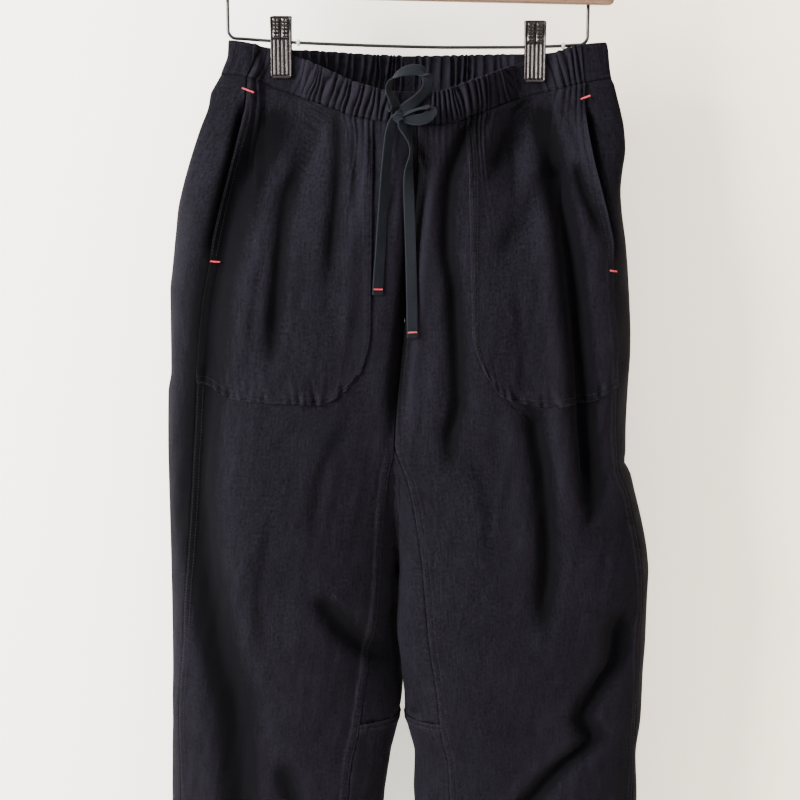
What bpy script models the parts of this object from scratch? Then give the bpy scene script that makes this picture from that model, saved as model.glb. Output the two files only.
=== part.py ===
"""Drawstring work trousers in black cotton, hung by two clips from a wire and wood hanger.

Lengths in the tables are millimetres. X runs to the viewer's right, -Y is the front, +Z is up,
and the origin is the inner top of the hook, where a rod bears.
"""

import math

import bpy
import numpy as np

MM = 0.001

# Cloth and seams
WALL = 2.0
SEAM_GAP = 0.15
POCKET_LIFT = 0.3
POCKET_WALL = 1.5
MOUTH_RISE = 1.6

# Heights on the cloth, measured down from the hook
Z_BAND = -165.0
Z_FADE = -360.0
Z_TIP = -500.0
Z_SADDLE = -632.0
Z_GUSSET = -775.0
Z_HEM = -1100.0

# Outline and seams: height, x
OUTER = {
    "left": [(-130, -160), (-136, -162.5), (-150, -163.8), (-161, -168.6), (-171, -173.4), (-182, -180),
             (-193, -182.1), (-212, -189.9), (-231, -196.8), (-249, -202.8), (-267, -208), (-285, -212.2),
             (-304, -214.5), (-322, -216.9), (-341, -219.3), (-360, -221.7), (-435, -223), (-455, -226.4),
             (-520, -228.3), (-632, -228.7), (-776, -230.9), (-818, -233.1), (-870, -234.6), (-1000, -231),
             (-1100, -224)],
    "right": [(-130, 176), (-136, 178), (-141, 180.9), (-155, 183.1), (-161, 184.2), (-171, 188.1),
              (-182, 191.1), (-193, 194.2), (-212, 198.4), (-231, 199.8), (-249, 197.6), (-267, 196.3),
              (-285, 197.7), (-304, 200.1), (-341, 204.9), (-435, 208.5), (-493, 207.3), (-513, 207.5),
              (-521, 206.5), (-532, 212.3), (-552, 217.7), (-572, 223.1), (-592, 227.6), (-612, 231.1),
              (-632, 232.7), (-693, 232.6), (-734, 231), (-776, 230.3), (-818, 226.6), (-870, 229.1),
              (-1000, 225), (-1100, 216)],
}
SIDE_SEAM = {
    "left": [(-130, -145), (-181, -147.1), (-231, -157.2), (-271, -167.4), (-316, -178.6), (-369, -190.1),
             (-416, -196), (-513, -205.2), (-612, -212.6), (-713, -217.3), (-870, -224), (-1100, -212)],
    "right": [(-130, 160), (-183, 161), (-232, 167.7), (-271, 176), (-316, 184.6), (-343, 186.2),
              (-453, 193.9), (-521, 197), (-552, 208), (-622, 221), (-662, 223.8), (-786, 222),
              (-870, 220), (-1100, 204)],
}
GUSSET_SEAM = {
    "left": [(-500, -13), (-535, -19), (-560, -23), (-613, -30), (-642, -33), (-702, -38), (-775, -44),
             (-855, -49), (-1100, -58)],
    "right": [(-500, -13), (-535, -3), (-583, 5), (-642, 12), (-692, 17), (-768, 28.5), (-855, 32),
              (-1100, 44)],
}
CENTRE_FRONT = [(-130, 8), (-204, 9), (-260, 6), (-320, 3), (-364, -1), (-412, -6), (-456, -10),
                (-500, -13), (-560, -17), (-613, -21), (-682, -26), (-730, -19), (-753, -12.5),
                (-776, -6.8), (-818, -3), (-839, -5.8), (-860, -8.7), (-1100, -8)]
CENTRE_BACK = [(-130, 8), (-300, 0), (-480, -4), (-560, 4), (-620, 9), (-700, 9), (-750, 5), (-776, -3),
               (-830, -7), (-1100, -8)]
LEG_GAP = [(-500, 1.4), (-560, 1.6), (-632, 1.6), (-750, 1.6), (-776, 2.6), (-797, 7), (-818, 12), (-860, 14.5), (-1100, 36)]
VALLEY = [(-240, 0), (-330, 0.1), (-400, 0.16), (-460, 0.26), (-500, 0.4), (-540, 0.64), (-580, 0.85),
          (-610, 0.96), (-632, 1), (-700, 1)]

# Half depth of the hung cloth, front and back, and how square its section is
DEPTH = {
    "front": [(-160, 22), (-250, 44), (-340, 51), (-500, 52), (-650, 50), (-800, 46), (-1100, 35)],
    "back": [(-160, 18), (-250, 38), (-340, 49), (-500, 52), (-650, 50), (-800, 46), (-1100, 35)],
}
SQUARE = [(-165, 4.6), (-250, 3.2), (-360, 2.6), (-1100, 2.4)]

# The band: half depth, top and bottom edges, each by x
BAND_DEPTH = {
    "front": [(-185, 10), (-150, 9), (-139, 7), (-130, 2.15), (-99, 2.15), (-90, 8), (-70, 19), (-40, 30),
              (0, 36), (40, 32), (70, 21), (90, 9), (99, 2.15), (131, 2.15), (140, 7), (158, 10), (190, 11)],
    "back": [(-185, 10), (-150, 9), (-139, 7), (-130, 2.15), (-99, 2.15), (-90, 7), (-70, 14), (-40, 21),
             (0, 25), (40, 22), (70, 15), (90, 8), (99, 2.15), (131, 2.15), (140, 7), (158, 10), (190, 11)],
}
BAND_TOP = {
    "front": [(-165, -131), (-150, -132.5), (-130, -136.4), (-115, -140), (-96, -147), (-69, -159.5),
              (-43, -171), (-7, -178.5), (28, -178), (40, -174), (55, -168.5), (81, -158.5), (99, -152),
              (115, -144.5), (130, -141.6), (160, -134.5), (182, -133)],
    "back": [(-165, -131), (-150, -132.5), (-130, -136.4), (-115, -138.5), (-96, -139), (-70, -140),
             (0, -143), (70, -142.5), (115, -142.6), (130, -141.6), (160, -134.5), (182, -133)],
}
BAND_BOTTOM = {
    "front": [(-190, -165), (-165, -165), (-130, -169), (-115, -173.5), (-96, -179), (-69, -189),
              (-43, -201), (-7, -207), (28, -208), (55, -202), (82, -192), (99, -184.5), (115, -178),
              (126, -175), (157, -169), (181, -167), (200, -166)],
    "back": [(-190, -165), (-165, -165), (-130, -169), (-115, -173), (-70, -175), (0, -177), (70, -177),
             (115, -176), (126, -174), (157, -169), (181, -167), (200, -166)],
}

# Gathers of the elastic: x from, x to, how many
GATHERS = {
    "front": [(-143, -131, 2), (-100, -16, 15), (22, 82, 13), (90, 101, 2), (130, 154, 5)],
    "back": [(-160, -131, 4), (-100, -4, 16), (10, 101, 16), (131, 168, 6)],
}
GATHER_RISE = 1.1

# Folds down the cloth: depth inwards, half width, then height and x down its line
FOLDS = {
    "front": [
        (9, 24, [(-187, -122), (-275, -155), (-364, -177), (-456, -188), (-551, -198), (-687, -182),
                 (-767, -165), (-860, -162), (-960, -170)]),
        (4, 9, [(-195, -82), (-240, -96), (-275, -110), (-328, -115), (-438, -124)]),
        (3, 7, [(-205, -62), (-275, -65), (-364, -71)]),
        (5, 9, [(-205, 59), (-231, 46), (-266, 37), (-310, 35), (-364, 42), (-456, 46), (-494, 39),
                (-535, 42)]),
        (4, 8, [(-190, 103), (-231, 86), (-270, 75)]),
        (4, 12, [(-235, 128), (-270, 115), (-345, 78)]),
        (12, 12, [(-185, 121), (-231, 130), (-292, 141), (-346, 149), (-410, 157), (-475, 163),
                  (-580, 172)]),
        (4, 9, [(-235, 154), (-325, 178)]),
        (6, 12, [(-450, 114), (-541, 127), (-608, 131), (-690, 128)]),
        (7, 13, [(-655, 203), (-707, 201), (-737, 183), (-767, 168), (-787, 178), (-818, 147), (-870, 110),
                 (-960, 96)]),
        (5, 16, [(-640, -82), (-667, -68), (-702, -40), (-730, -24)]),
        (7, 9, [(-222, 10), (-320, 3), (-364, -1), (-412, -6), (-500, -13)]),
        (4, 14, [(-800, -120), (-900, -105), (-1010, -118)]),
        (4, 14, [(-880, 180), (-960, 168), (-1040, 160)]),
    ],
    "back": [
        (8, 22, [(-187, -118), (-280, -140), (-400, -158), (-520, -165), (-640, -172)]),
        (5, 10, [(-190, -70), (-260, -80), (-340, -92)]),
        (8, 16, [(-187, 118), (-280, 132), (-400, 150), (-540, 160)]),
        (4, 9, [(-190, 60), (-260, 70), (-350, 74)]),
        (6, 12, [(-200, 3), (-300, 0), (-400, -6), (-500, -8)]),
        (6, 14, [(-480, 96), (-600, 118), (-700, 126)]),
        (6, 14, [(-500, -92), (-620, -108), (-740, -118)]),
        (5, 18, [(-760, -150), (-860, -128), (-980, -120)]),
        (5, 18, [(-740, 170), (-840, 140), (-960, 120)]),
    ],
}

# Patch pocket: inner edge by height, lower edge by share of the way out
POCKET_INNER = {
    "left": [(-165, -31), (-392, -33.5), (-433, -44), (-455, -58)],
    "right": [(-165, 54), (-392, 58), (-442, 75), (-462, 92)],
}
POCKET_FOOT = {
    "left": [(0, -432), (0.12, -448), (0.3, -460), (0.65, -457), (1, -443)],
    "right": [(0, -434), (0.12, -452), (0.32, -462), (0.65, -461), (1, -446)],
}
POCKET_MOUTH = (-186, -330)

# Hanger
WOOD_HALF, WOOD_TOP, WOOD_FOOT, WOOD_THICK = 186.0, -70.0, -98.0, 13.0
WOOD_TILT = 1.25  # degrees; the bar hangs a little lower at +X
WIRE_X, WIRE_R = 163.0, 1.5
WIRE_LEFT, WIRE_RIGHT = -131.0, -136.6
WIRE_LINE = [(-150, -131.3), (-132, -132.6), (-115, -133.8), (-98, -134.8), (-52, -136.6), (-7, -138),
             (38, -138.8), (101, -138.7), (115, -138.4), (146, -137.2)]
CLIP_X = {"left": -115.0, "right": 115.4}
CLIP_TOP = {"left": -112.0, "right": -116.0}
CLIP_FOOT = {"left": -166.5, "right": -170.0}
CLIP_WIDE = 19.0
HOOK_R, HOOK_WIRE = 20.0, 1.75


def smooth(table, at):
    """A smooth line through the table's points, level beyond its ends."""
    pairs = sorted(table)
    xs = np.array([pair[0] for pair in pairs], float)
    ys = np.array([pair[1] for pair in pairs], float)
    step = np.diff(ys) / np.diff(xs)
    slope = np.zeros_like(ys)
    same = step[:-1] * step[1:] > 0
    mean = 2 * step[:-1] * step[1:] / np.where(same, step[:-1] + step[1:], 1)
    slope[1:-1] = np.where(same, mean, 0)
    at = np.clip(np.asarray(at, float), xs[0], xs[-1])
    i = np.clip(np.searchsorted(xs, at) - 1, 0, len(xs) - 2)
    wide = xs[i + 1] - xs[i]
    t = (at - xs[i]) / wide
    return (
        (1 + 2 * t) * (1 - t) ** 2 * ys[i]
        + t * (1 - t) ** 2 * wide * slope[i]
        + t * t * (3 - 2 * t) * ys[i + 1]
        + t * t * (t - 1) * wide * slope[i + 1]
    )


def ease(low, high, at):
    t = np.clip((np.asarray(at, float) - low) / (high - low), 0, 1)
    return t * t * (3 - 2 * t)


def valley_turn(k):
    """How far round the section the cloth turns towards the middle: all the way where a leg closes."""
    return 0.62 + 0.38 * k**3


def section(side, p, level):
    """The hung cloth's plain section. p is -1 at the outer edge, 0 at mid front, 1 at the middle,
    and past either end it runs on round the back."""
    p, level = np.broadcast_arrays(np.asarray(p, float), np.asarray(level, float))
    back = (p < -1) | (p > 1)
    c = np.where(p < -1, -2 - p, np.where(p > 1, 2 - p, p))
    k = np.clip(smooth(VALLEY, level), 0, 1)
    n = smooth(SQUARE, level)
    outer = smooth(OUTER[side], level)
    front_mid = smooth(CENTRE_FRONT, level)
    back_mid = smooth(CENTRE_BACK, level)
    middle = (outer + 0.5 * (front_mid + back_mid)) / 2
    turn = valley_turn(k)
    inner_r = (np.sin(np.clip(c, 0, 1) * turn * math.pi / 2) / np.sin(turn * math.pi / 2)) ** (2 / n)
    outer_r = np.sin(np.clip(-c, 0, 1) * math.pi / 2) ** (2 / n)
    inward = np.clip(1 - k * inner_r**n, 0, 1) ** (1 / n)
    outward = np.cos(np.clip(-c, 0, 1) * math.pi / 2).clip(0, 1) ** (2 / n)
    round_y = np.where(c >= 0, inward, outward)
    shift = 0.5 + 0.5 * inward
    mid_f = back_mid + (front_mid - back_mid) * shift
    mid_b = front_mid + (back_mid - front_mid) * shift
    mid = np.where(back, mid_b, mid_f)
    sign = -1.0 if side == "left" else 1.0
    gap = np.where(level < -470, smooth(LEG_GAP, level), 0) * ease(-470, -510, level)
    near = np.clip((1 - c) * 14, 0, 1)
    below = np.clip((Z_SADDLE - level) / 3.0, 0, 1)
    open_up = np.clip(near + below, 0, 1)
    arch = np.sqrt(np.clip(2 * open_up - open_up**2, 0, 1))
    reach = mid + sign * gap * arch
    x = np.where(c >= 0, middle + (reach - middle) * inner_r, middle + (outer - middle) * outer_r)
    blend = ease(-185, -330, level)
    depth_f = smooth(BAND_DEPTH["front"], x) * (1 - blend) + smooth(DEPTH["front"], level) * blend
    depth_b = smooth(BAND_DEPTH["back"], x) * (1 - blend) + smooth(DEPTH["back"], level) * blend
    depth = np.where(back, depth_b, depth_f)
    y = np.where(back, 1.0, -1.0) * depth * round_y
    return x, y, back


def level_to_height(x, back, level):
    shift_f = smooth(BAND_BOTTOM["front"], x) - Z_BAND
    shift_b = smooth(BAND_BOTTOM["back"], x) - Z_BAND
    shift = np.where(back, shift_b, shift_f)
    high_f = smooth(BAND_TOP["front"], x) - smooth(BAND_BOTTOM["front"], x)
    high_b = smooth(BAND_TOP["back"], x) - smooth(BAND_BOTTOM["back"], x)
    high = np.where(back, high_b, high_f)
    over = (level - Z_BAND) * np.where(level > Z_BAND, high / 28.0, 1)
    return Z_BAND + over + shift * ease(Z_FADE, Z_BAND, level)


def fold_depth(x, z, face):
    total = np.zeros_like(x)
    for depth, wide, line in FOLDS[face]:
        low, high = line[-1][0], line[0][0]
        run = min(60.0, (high - low) * 0.4)
        line_x = smooth(line, z)
        here = ease(low, low + run, z) * ease(high, high - run * 0.5, z)
        total += depth * here * np.exp(-(((x - line_x) / wide) ** 2))
    return total


def either_side(p, level, step):
    """Two values of p about this one that don't cross the middle, where the legs aren't parted yet."""
    whole = level > Z_SADDLE
    high = np.where(whole & (p <= 1), np.minimum(p + step, 1), p + step)
    low = np.where(whole & (p < -1), np.maximum(p - step, -3), p - step)
    return low, high


def cloth(side, p, level, out=0.0):
    """Point on the outside of the hung cloth, moved out by a given amount, and its inward direction."""
    p, level = np.broadcast_arrays(np.asarray(p, float), np.asarray(level, float))
    x, y, back = section(side, p, level)
    low, high = either_side(p, level, 0.004)
    x1, y1, _ = section(side, low, level)
    x2, y2, _ = section(side, high, level)
    tx, ty = x2 - x1, y2 - y1
    length = np.hypot(tx, ty) + 1e-9
    way = 1.0 if side == "left" else -1.0
    nx, ny = -ty / length * way, tx / length * way
    z = level_to_height(x, back, level)
    dents = np.where(back, fold_depth(x, z, "back"), fold_depth(x, z, "front"))
    flat = np.clip((np.abs(y) - 4.0) / 14.0, 0, 1)
    inner = np.where(p < -1, -2 - p, np.where(p > 1, 2 - p, p))
    straight = ease(0.65, 1, inner) * (level > Z_SADDLE)
    dents = dents * flat
    x = x + nx * (1 - straight) * dents - nx * out
    y = y + (ny * (1 - straight) + np.sign(ny) * straight) * dents - ny * out
    return np.stack([x, y, z], -1), np.stack([nx, ny, np.zeros_like(nx)], -1)


def p_at_x(side, x, level, face="front"):
    """Where round the section a given x lies."""
    level = np.asarray(level, float)
    x = np.asarray(x, float)
    k = np.clip(smooth(VALLEY, level), 0, 1)
    n = smooth(SQUARE, level)
    outer = smooth(OUTER[side], level)
    front_mid = smooth(CENTRE_FRONT, level)
    back_mid = smooth(CENTRE_BACK, level)
    inner = front_mid if face == "front" else back_mid
    middle = (outer + 0.5 * (front_mid + back_mid)) / 2
    turn = valley_turn(k)
    r_in = np.clip((x - middle) / (inner - middle), 0, 1) ** (n / 2)
    r_out = np.clip((x - middle) / (outer - middle), 0, 1) ** (n / 2)
    c_in = np.arcsin(np.clip(r_in * np.sin(turn * math.pi / 2), 0, 1)) / (turn * math.pi / 2)
    c_out = -np.arcsin(r_out) / (math.pi / 2)
    c = np.where(r_in > 0, c_in, c_out)
    return c if face == "front" else -2 - c


def p_step(side, p, level, size):
    """The change of p that moves a given distance round the section."""
    low, high = either_side(np.asarray(p, float), np.asarray(level, float), 0.01)
    x1, y1, _ = section(side, low, level)
    x2, y2, _ = section(side, high, level)
    speed = np.hypot(x2 - x1, y2 - y1) / (high - low)
    return size / np.maximum(speed, 8.0)


def p_side(side, level):
    return p_at_x(side, smooth(SIDE_SEAM[side], level), level)


def p_inner(side, level):
    """The inner edge of a front panel: centre front, then the gusset's seam, then the leg's."""
    level = np.asarray(level, float)
    seam = p_at_x(side, smooth(GUSSET_SEAM[side], level), level)
    return np.where(level > Z_TIP, 1.0, np.minimum(seam, 1.0))


def shell(name, outer, inner):
    """A closed thin solid from two grids of points, one behind the other."""
    rows, cols = outer.shape[:2]
    points = np.concatenate([outer.reshape(-1, 3), inner.reshape(-1, 3)]) * MM
    half = rows * cols
    faces = []
    for i in range(rows - 1):
        for j in range(cols - 1):
            a, b, c, d = i * cols + j, i * cols + j + 1, (i + 1) * cols + j + 1, (i + 1) * cols + j
            faces += [(a, b, c), (a, c, d)]
            faces += [(half + c, half + b, half + a), (half + d, half + c, half + a)]
    rim = [j for j in range(cols)]
    rim += [i * cols + cols - 1 for i in range(1, rows)]
    rim += [(rows - 1) * cols + j for j in range(cols - 2, -1, -1)]
    rim += [i * cols for i in range(rows - 2, 0, -1)]
    for a, b in zip(rim, rim[1:] + rim[:1]):
        faces.append((b, a, half + a, half + b))
    return add_mesh(name, points, faces)


def add_mesh(name, points, faces):
    mesh = bpy.data.meshes.new(name)
    mesh.from_pydata([tuple(map(float, point)) for point in points], [], faces)
    volume = 0.0
    pts = np.asarray(points)
    for face in faces:
        for i in range(1, len(face) - 1):
            volume += np.dot(pts[face[0]], np.cross(pts[face[i]], pts[face[i + 1]]))
    if volume < 0:
        mesh.flip_normals()
    mesh.update()
    obj = bpy.data.objects.new(name, mesh)
    COLLECTION.objects.link(obj)
    obj.data.materials.append(MATERIALS[material_of(name)])
    return obj


def material_of(name):
    if name.startswith(("tape", "bow", "knot")):
        return "tape"
    if name == "hanger_bar":
        return "wood"
    if name.startswith("stop"):
        return "plastic"
    if name.startswith(("clip", "hanger")):
        return "metal"
    return "cloth"


FOOT_ROW = 9
POCKET_COLS = 9
INNER_COLS = 6
BACK_COLS = 12
SHARED_V = (0.1, 0.28, 0.55, 0.77, 1.0)
LEG_LEVELS = (-840.0, -905.0, -970.0, -1035.0, Z_HEM)


def seam_level(v):
    """Height of the gusset's seam a share v of the way from its tip to its foot."""
    return Z_TIP - 3 + (Z_GUSSET - Z_TIP + 3) * v


def inner_levels():
    """The levels at which every panel along the middle seams has a point."""
    top, foot = Z_BAND - SEAM_GAP, -433.0
    levels = [top + (foot - top) * i / FOOT_ROW for i in range(FOOT_ROW + 1)]
    levels += [-468.0, Z_TIP - 3] + [seam_level(v) for v in SHARED_V]
    return np.array(levels + list(LEG_LEVELS))


def side_levels(side):
    """The levels at which the front and back panels meet along the side seam."""
    top, foot = Z_BAND - SEAM_GAP, POCKET_FOOT[side][-1][1]
    levels = [top + (foot - top) * i / FOOT_ROW for i in range(FOOT_ROW + 1)]
    below = inner_levels()[FOOT_ROW + 1:]
    share = (below + 433.0) / (Z_HEM + 433.0)
    return np.array(levels + list(foot + (Z_HEM - foot) * share))


def front_grid(side):
    """Positions and levels of a front panel's points, with a row and a column on the pocket's edges."""
    inner, outer = inner_levels(), side_levels(side)
    share = np.linspace(0, 1, POCKET_COLS + 1)
    top = Z_BAND - SEAM_GAP
    places, levels = [], []
    for i, (inner_level, outer_level) in enumerate(zip(inner, outer)):
        foot = smooth(POCKET_FOOT[side], share)
        if i <= FOOT_ROW:
            pocket_level = top + (foot - top) * i / FOOT_ROW
        else:
            part = (outer_level - outer[FOOT_ROW]) / (Z_HEM - outer[FOOT_ROW])
            pocket_level = foot + (Z_HEM - foot) * part
        edge_level = pocket_level[0]
        p_pocket = p_at_x(side, smooth(POCKET_INNER[side], edge_level), edge_level)
        fade = ease(-470, -640, edge_level)
        p_in = p_inner(side, inner_level)
        end = p_in - p_step(side, p_in - 0.02, inner_level, SEAM_GAP)
        start = p_side(side, outer_level)
        start = start + p_step(side, start, outer_level, SEAM_GAP)
        p_pocket = p_pocket * (1 - fade) + (start + (end - start) * 0.62) * fade
        outer_p = []
        for s, level in zip(share, pocket_level):
            edge = p_side(side, level)
            edge = edge + p_step(side, edge, level, SEAM_GAP)
            outer_p.append(p_pocket + (edge - p_pocket) * s)
        step = np.arange(1, INNER_COLS + 1) / INNER_COLS
        places.append(np.concatenate([np.array(outer_p)[::-1], p_pocket + (end - p_pocket) * step]))
        levels.append(np.concatenate([pocket_level[::-1], edge_level + (inner_level - edge_level) * step]))
    return np.array(places), np.array(levels)


def front_panel(side, name, pocket_name):
    places, levels = front_grid(side)
    outer, normal = cloth(side, places, levels)
    shell(name, outer, outer + normal * WALL)
    cut = (slice(0, FOOT_ROW + 1), slice(0, POCKET_COLS + 1))
    rise = np.zeros(places.shape)
    mouth = ease(POCKET_MOUTH[1], POCKET_MOUTH[1] + 40, levels[:, 0]) * ease(
        POCKET_MOUTH[0], POCKET_MOUTH[0] - 40, levels[:, 0]
    )
    rise[:, 0] = MOUTH_RISE * mouth
    rise[:, 1] = MOUTH_RISE * 0.45 * mouth
    low = outer - normal * (POCKET_LIFT + rise)[..., None]
    high = outer - normal * (POCKET_LIFT + POCKET_WALL + rise)[..., None]
    shell(pocket_name, high[cut], low[cut])


def back_grid(side):
    places, levels = [], []
    for inner_level, outer_level in zip(inner_levels(), side_levels(side)):
        start = p_side(side, outer_level)
        start = start - p_step(side, start, outer_level, SEAM_GAP)
        seam = p_inner(side, inner_level)
        end = -2 - (seam - p_step(side, -2 - seam + 0.02, inner_level, SEAM_GAP))
        share = np.linspace(0, 1, BACK_COLS + 1) ** 0.9
        places.append(start + (end - start) * share)
        levels.append(outer_level + (inner_level - outer_level) * share)
    return np.array(places), np.array(levels)


def back_panel(side, name):
    outer, normal = cloth(side, *back_grid(side))
    shell(name, outer, outer + normal * WALL)


def inner_leg(side, name):
    cols = 8
    places, levels = [], []
    for level in (Z_GUSSET - SEAM_GAP,) + LEG_LEVELS:
        seam = p_inner(side, level)
        start = seam + p_step(side, seam, level, SEAM_GAP)
        places.append(np.linspace(start, 2 - start, cols + 1))
        levels.append(np.full(cols + 1, level))
    outer, normal = cloth(side, np.array(places), np.array(levels))
    shell(name, outer, outer + normal * WALL)


GUSSET_V = [0, 0.02, 0.05, 0.1, 0.18, 0.28, 0.4, 0.55, 0.77, 1]
GUSSET_U = 11


def gusset_line(side, v):
    """One line of the gusset from its front seam to the middle of its length."""
    start_level = seam_level(v) + SEAM_GAP * (v == 1)
    mid_level = Z_SADDLE + (Z_GUSSET + SEAM_GAP - Z_SADDLE) * v**1.15
    t = np.linspace(0, 1, GUSSET_U)
    samples = np.linspace(Z_TIP - 3, Z_SADDLE, 400)
    deep = np.clip(1 - smooth(VALLEY, samples), 0, 1) ** (1 / smooth(SQUARE, samples))
    passed = 1 - deep / deep[0]
    share = np.interp(t, passed, np.linspace(0, 1, 400))
    share = share * (1 - v) + t * v
    level = start_level + (mid_level - start_level) * share
    seam = p_inner(side, start_level)
    seam = seam + p_step(side, seam, start_level, SEAM_GAP)
    seam = np.minimum(seam, 1.0)
    across = 1 - (1 - t) ** (1 / max(v, 0.02) ** 0.8)
    if v == 0:
        across = np.ones_like(t)
    below = np.clip((Z_SADDLE - level) / 3.0, 0, 1)
    apart = 0.07 * min(1.0, v / 0.05) * (1 - below)
    p = np.minimum(seam + (1 - seam) * across, 1 - apart)
    return np.maximum(p, seam), level


def gusset():
    lines = []
    spans = [("left", v) for v in reversed(GUSSET_V)] + [("right", v) for v in GUSSET_V[1:]]
    for side, v in spans:
        p, level = gusset_line(side, v)
        front, _ = cloth(side, p, level)
        back, _ = cloth(side, -2 - p[::-1][1:], level[::-1][1:])
        if v == 0:
            other, _ = cloth("right", p, level)
            other_back, _ = cloth("right", -2 - p[::-1][1:], level[::-1][1:])
            front = (front + other) / 2
            back = (back + other_back) / 2
        lines.append(np.concatenate([front, back]))
    heights = [seam_level(v) for _, v in spans]
    kept = [i for i, (_, v) in enumerate(spans) if v in SHARED_V or v == 0]
    for i in range(len(spans)):
        if i not in kept:
            low = max(k for k in kept if k < i)
            high = min(k for k in kept if k > i)
            t = (heights[i] - heights[low]) / (heights[high] - heights[low])
            for end in (0, -1):
                lines[i][end] = lines[low][end] + (lines[high][end] - lines[low][end]) * t
    outer = np.array(lines)
    du = np.gradient(outer, axis=1)
    dv = np.gradient(outer, axis=0)
    normal = np.cross(dv, du)
    normal /= np.linalg.norm(normal, axis=-1, keepdims=True) + 1e-9
    middle = outer.shape[0] // 2
    if normal[middle, GUSSET_U - 1, 2] < 0:
        normal = -normal
    for index, (side, v) in enumerate(spans):
        p, level = gusset_line(side, v)
        _, flat_f = cloth(side, p, level)
        _, flat_b = cloth(side, -2 - p[::-1][1:], level[::-1][1:])
        if v == 0:
            flat_f = np.tile([0.0, 1.0, 0.0], (len(p), 1))
            flat_b = np.tile([0.0, -1.0, 0.0], (len(p) - 1, 1))
        flat = np.concatenate([flat_f, flat_b])
        t = np.linspace(0, 1, len(flat))
        mix = np.clip(np.minimum(t, 1 - t) * 8, 0, 1)[:, None] * np.clip((1 - v) * 5, 0, 1)
        both = flat * (1 - mix) + normal[index] * mix
        normal[index] = both / np.maximum(np.linalg.norm(both, axis=-1, keepdims=True), 1e-6)
    shell("gusset", outer, outer + normal * WALL)


def height_along(line, point):
    """Height of the nearest place on a line of points, seen from above."""
    a, b = line[:-1], line[1:]
    run = (b - a)[:, :2]
    t = np.clip(((point - a)[:, :2] * run).sum(1) / np.maximum((run**2).sum(1), 1e-9), 0, 1)
    near = a + (b - a) * t[:, None]
    best = np.argmin(np.hypot(near[:, 0] - point[0], near[:, 1] - point[1]))
    return near[best, 2]


def band(face, name):
    """A gathered band: front or back of the waist, four points to a gather."""
    x_left = float(smooth(SIDE_SEAM["left"], Z_BAND)) + SEAM_GAP
    x_right = float(smooth(SIDE_SEAM["right"], Z_BAND)) - SEAM_GAP
    stations = []
    if face == "front":
        grid = [x_left, -129, -115, -101, -9, 0, 8, 15, 103, 115, 128, x_right]
        stations = [(x, 0.0) for x in grid if x_left <= x <= x_right]
    for low, high, count in GATHERS[face]:
        if face == "front":
            for i in range(count * 4 + 1):
                x = low + (high - low) * i / (count * 4)
                stations.append((x, math.sin(i * math.pi / 2)))
    if face == "front":
        stations = sorted({round(x, 2): s for x, s in stations}.items())
        columns = []
        middle = float(smooth(CENTRE_FRONT, Z_BAND))
        for x, ripple in stations:
            side = "left" if x < middle else "right"
            columns.append((side, float(p_at_x(side, x, Z_BAND)), ripple))
    else:
        columns = []
        for side in ("left", "right"):
            run = []
            start = float(p_at_x(side, x_left - 2 * SEAM_GAP if side == "left" else x_right + 2 * SEAM_GAP, Z_BAND))
            for share in np.linspace(0, 1, 6):
                run.append((start + (-1 - start) * share, 0.0))
            marks = []
            middle = float(smooth(CENTRE_BACK, Z_BAND))
            for low, high, count in GATHERS["back"]:
                for i in range(count * 4 + 1):
                    x = low + (high - low) * i / (count * 4)
                    if (side == "left") == (x <= middle + 0.01):
                        marks.append((x, math.sin(i * math.pi / 2)))
            edge = float(smooth(OUTER[side], Z_BAND))
            marks += [(edge * 0.985, 0.0), (middle, 0.0)] + [(x * math.copysign(1, edge), 0.0) for x in (103, 115, 128)]
            done = {}
            for x, ripple in marks:
                done[round(x, 1)] = (float(p_at_x(side, x, Z_BAND, "back")), ripple)
            run += sorted(done.values(), key=lambda item: -item[0])
            run = [run[0]] + [b for a, b in zip(run, run[1:]) if a[0] - b[0] > 0.002]
            if side == "right":
                run = run[::-1][1:]
            columns += [(side, p, ripple) for p, ripple in run]
    rows = [(Z_BAND + SEAM_GAP, 0.55), (Z_BAND + 14, 1.2), (Z_BAND + 28, 0.8)]
    tops = {}
    for side in ("left", "right"):
        places, levels = front_grid(side) if face == "front" else back_grid(side)
        points, _ = cloth(side, places[0], levels[0])
        tops[side] = points
    outer = np.zeros((len(rows), len(columns), 3))
    inner = np.zeros_like(outer)
    for i, (level, rise) in enumerate(rows):
        for j, (side, p, ripple) in enumerate(columns):
            base, _ = cloth(side, p, level)
            flat = float(np.clip((abs(base[1]) - 2.6) / 3.5, 0, 1))
            out = ripple * rise * GATHER_RISE * flat
            point, normal = cloth(side, p, level, out)
            if i == 0:
                point[2] = height_along(tops[side], point) + 2 * SEAM_GAP + 0.1
            outer[i, j] = point
            inner[i, j] = point + normal * WALL
    shell(name, outer, inner)


def loft(name, rings):
    """A solid skinned over rings of points that all have the same count."""
    rings = np.asarray(rings, float)
    count, per = rings.shape[:2]
    points = rings.reshape(-1, 3) * MM
    faces = []
    for i in range(count - 1):
        for j in range(per):
            k = (j + 1) % per
            faces.append((i * per + j, i * per + k, (i + 1) * per + k, (i + 1) * per + j))
    faces.append(tuple(range(per))[::-1])
    faces.append(tuple((count - 1) * per + j for j in range(per)))
    return add_mesh(name, points, faces)


def finish(obj, name):
    """Name an object that a Blender tool made, and give it its material and collection."""
    obj.name = name
    obj.data.name = name
    for collection in list(obj.users_collection):
        collection.objects.unlink(obj)
    COLLECTION.objects.link(obj)
    obj.data.materials.append(MATERIALS[material_of(name)])
    return obj


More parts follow.
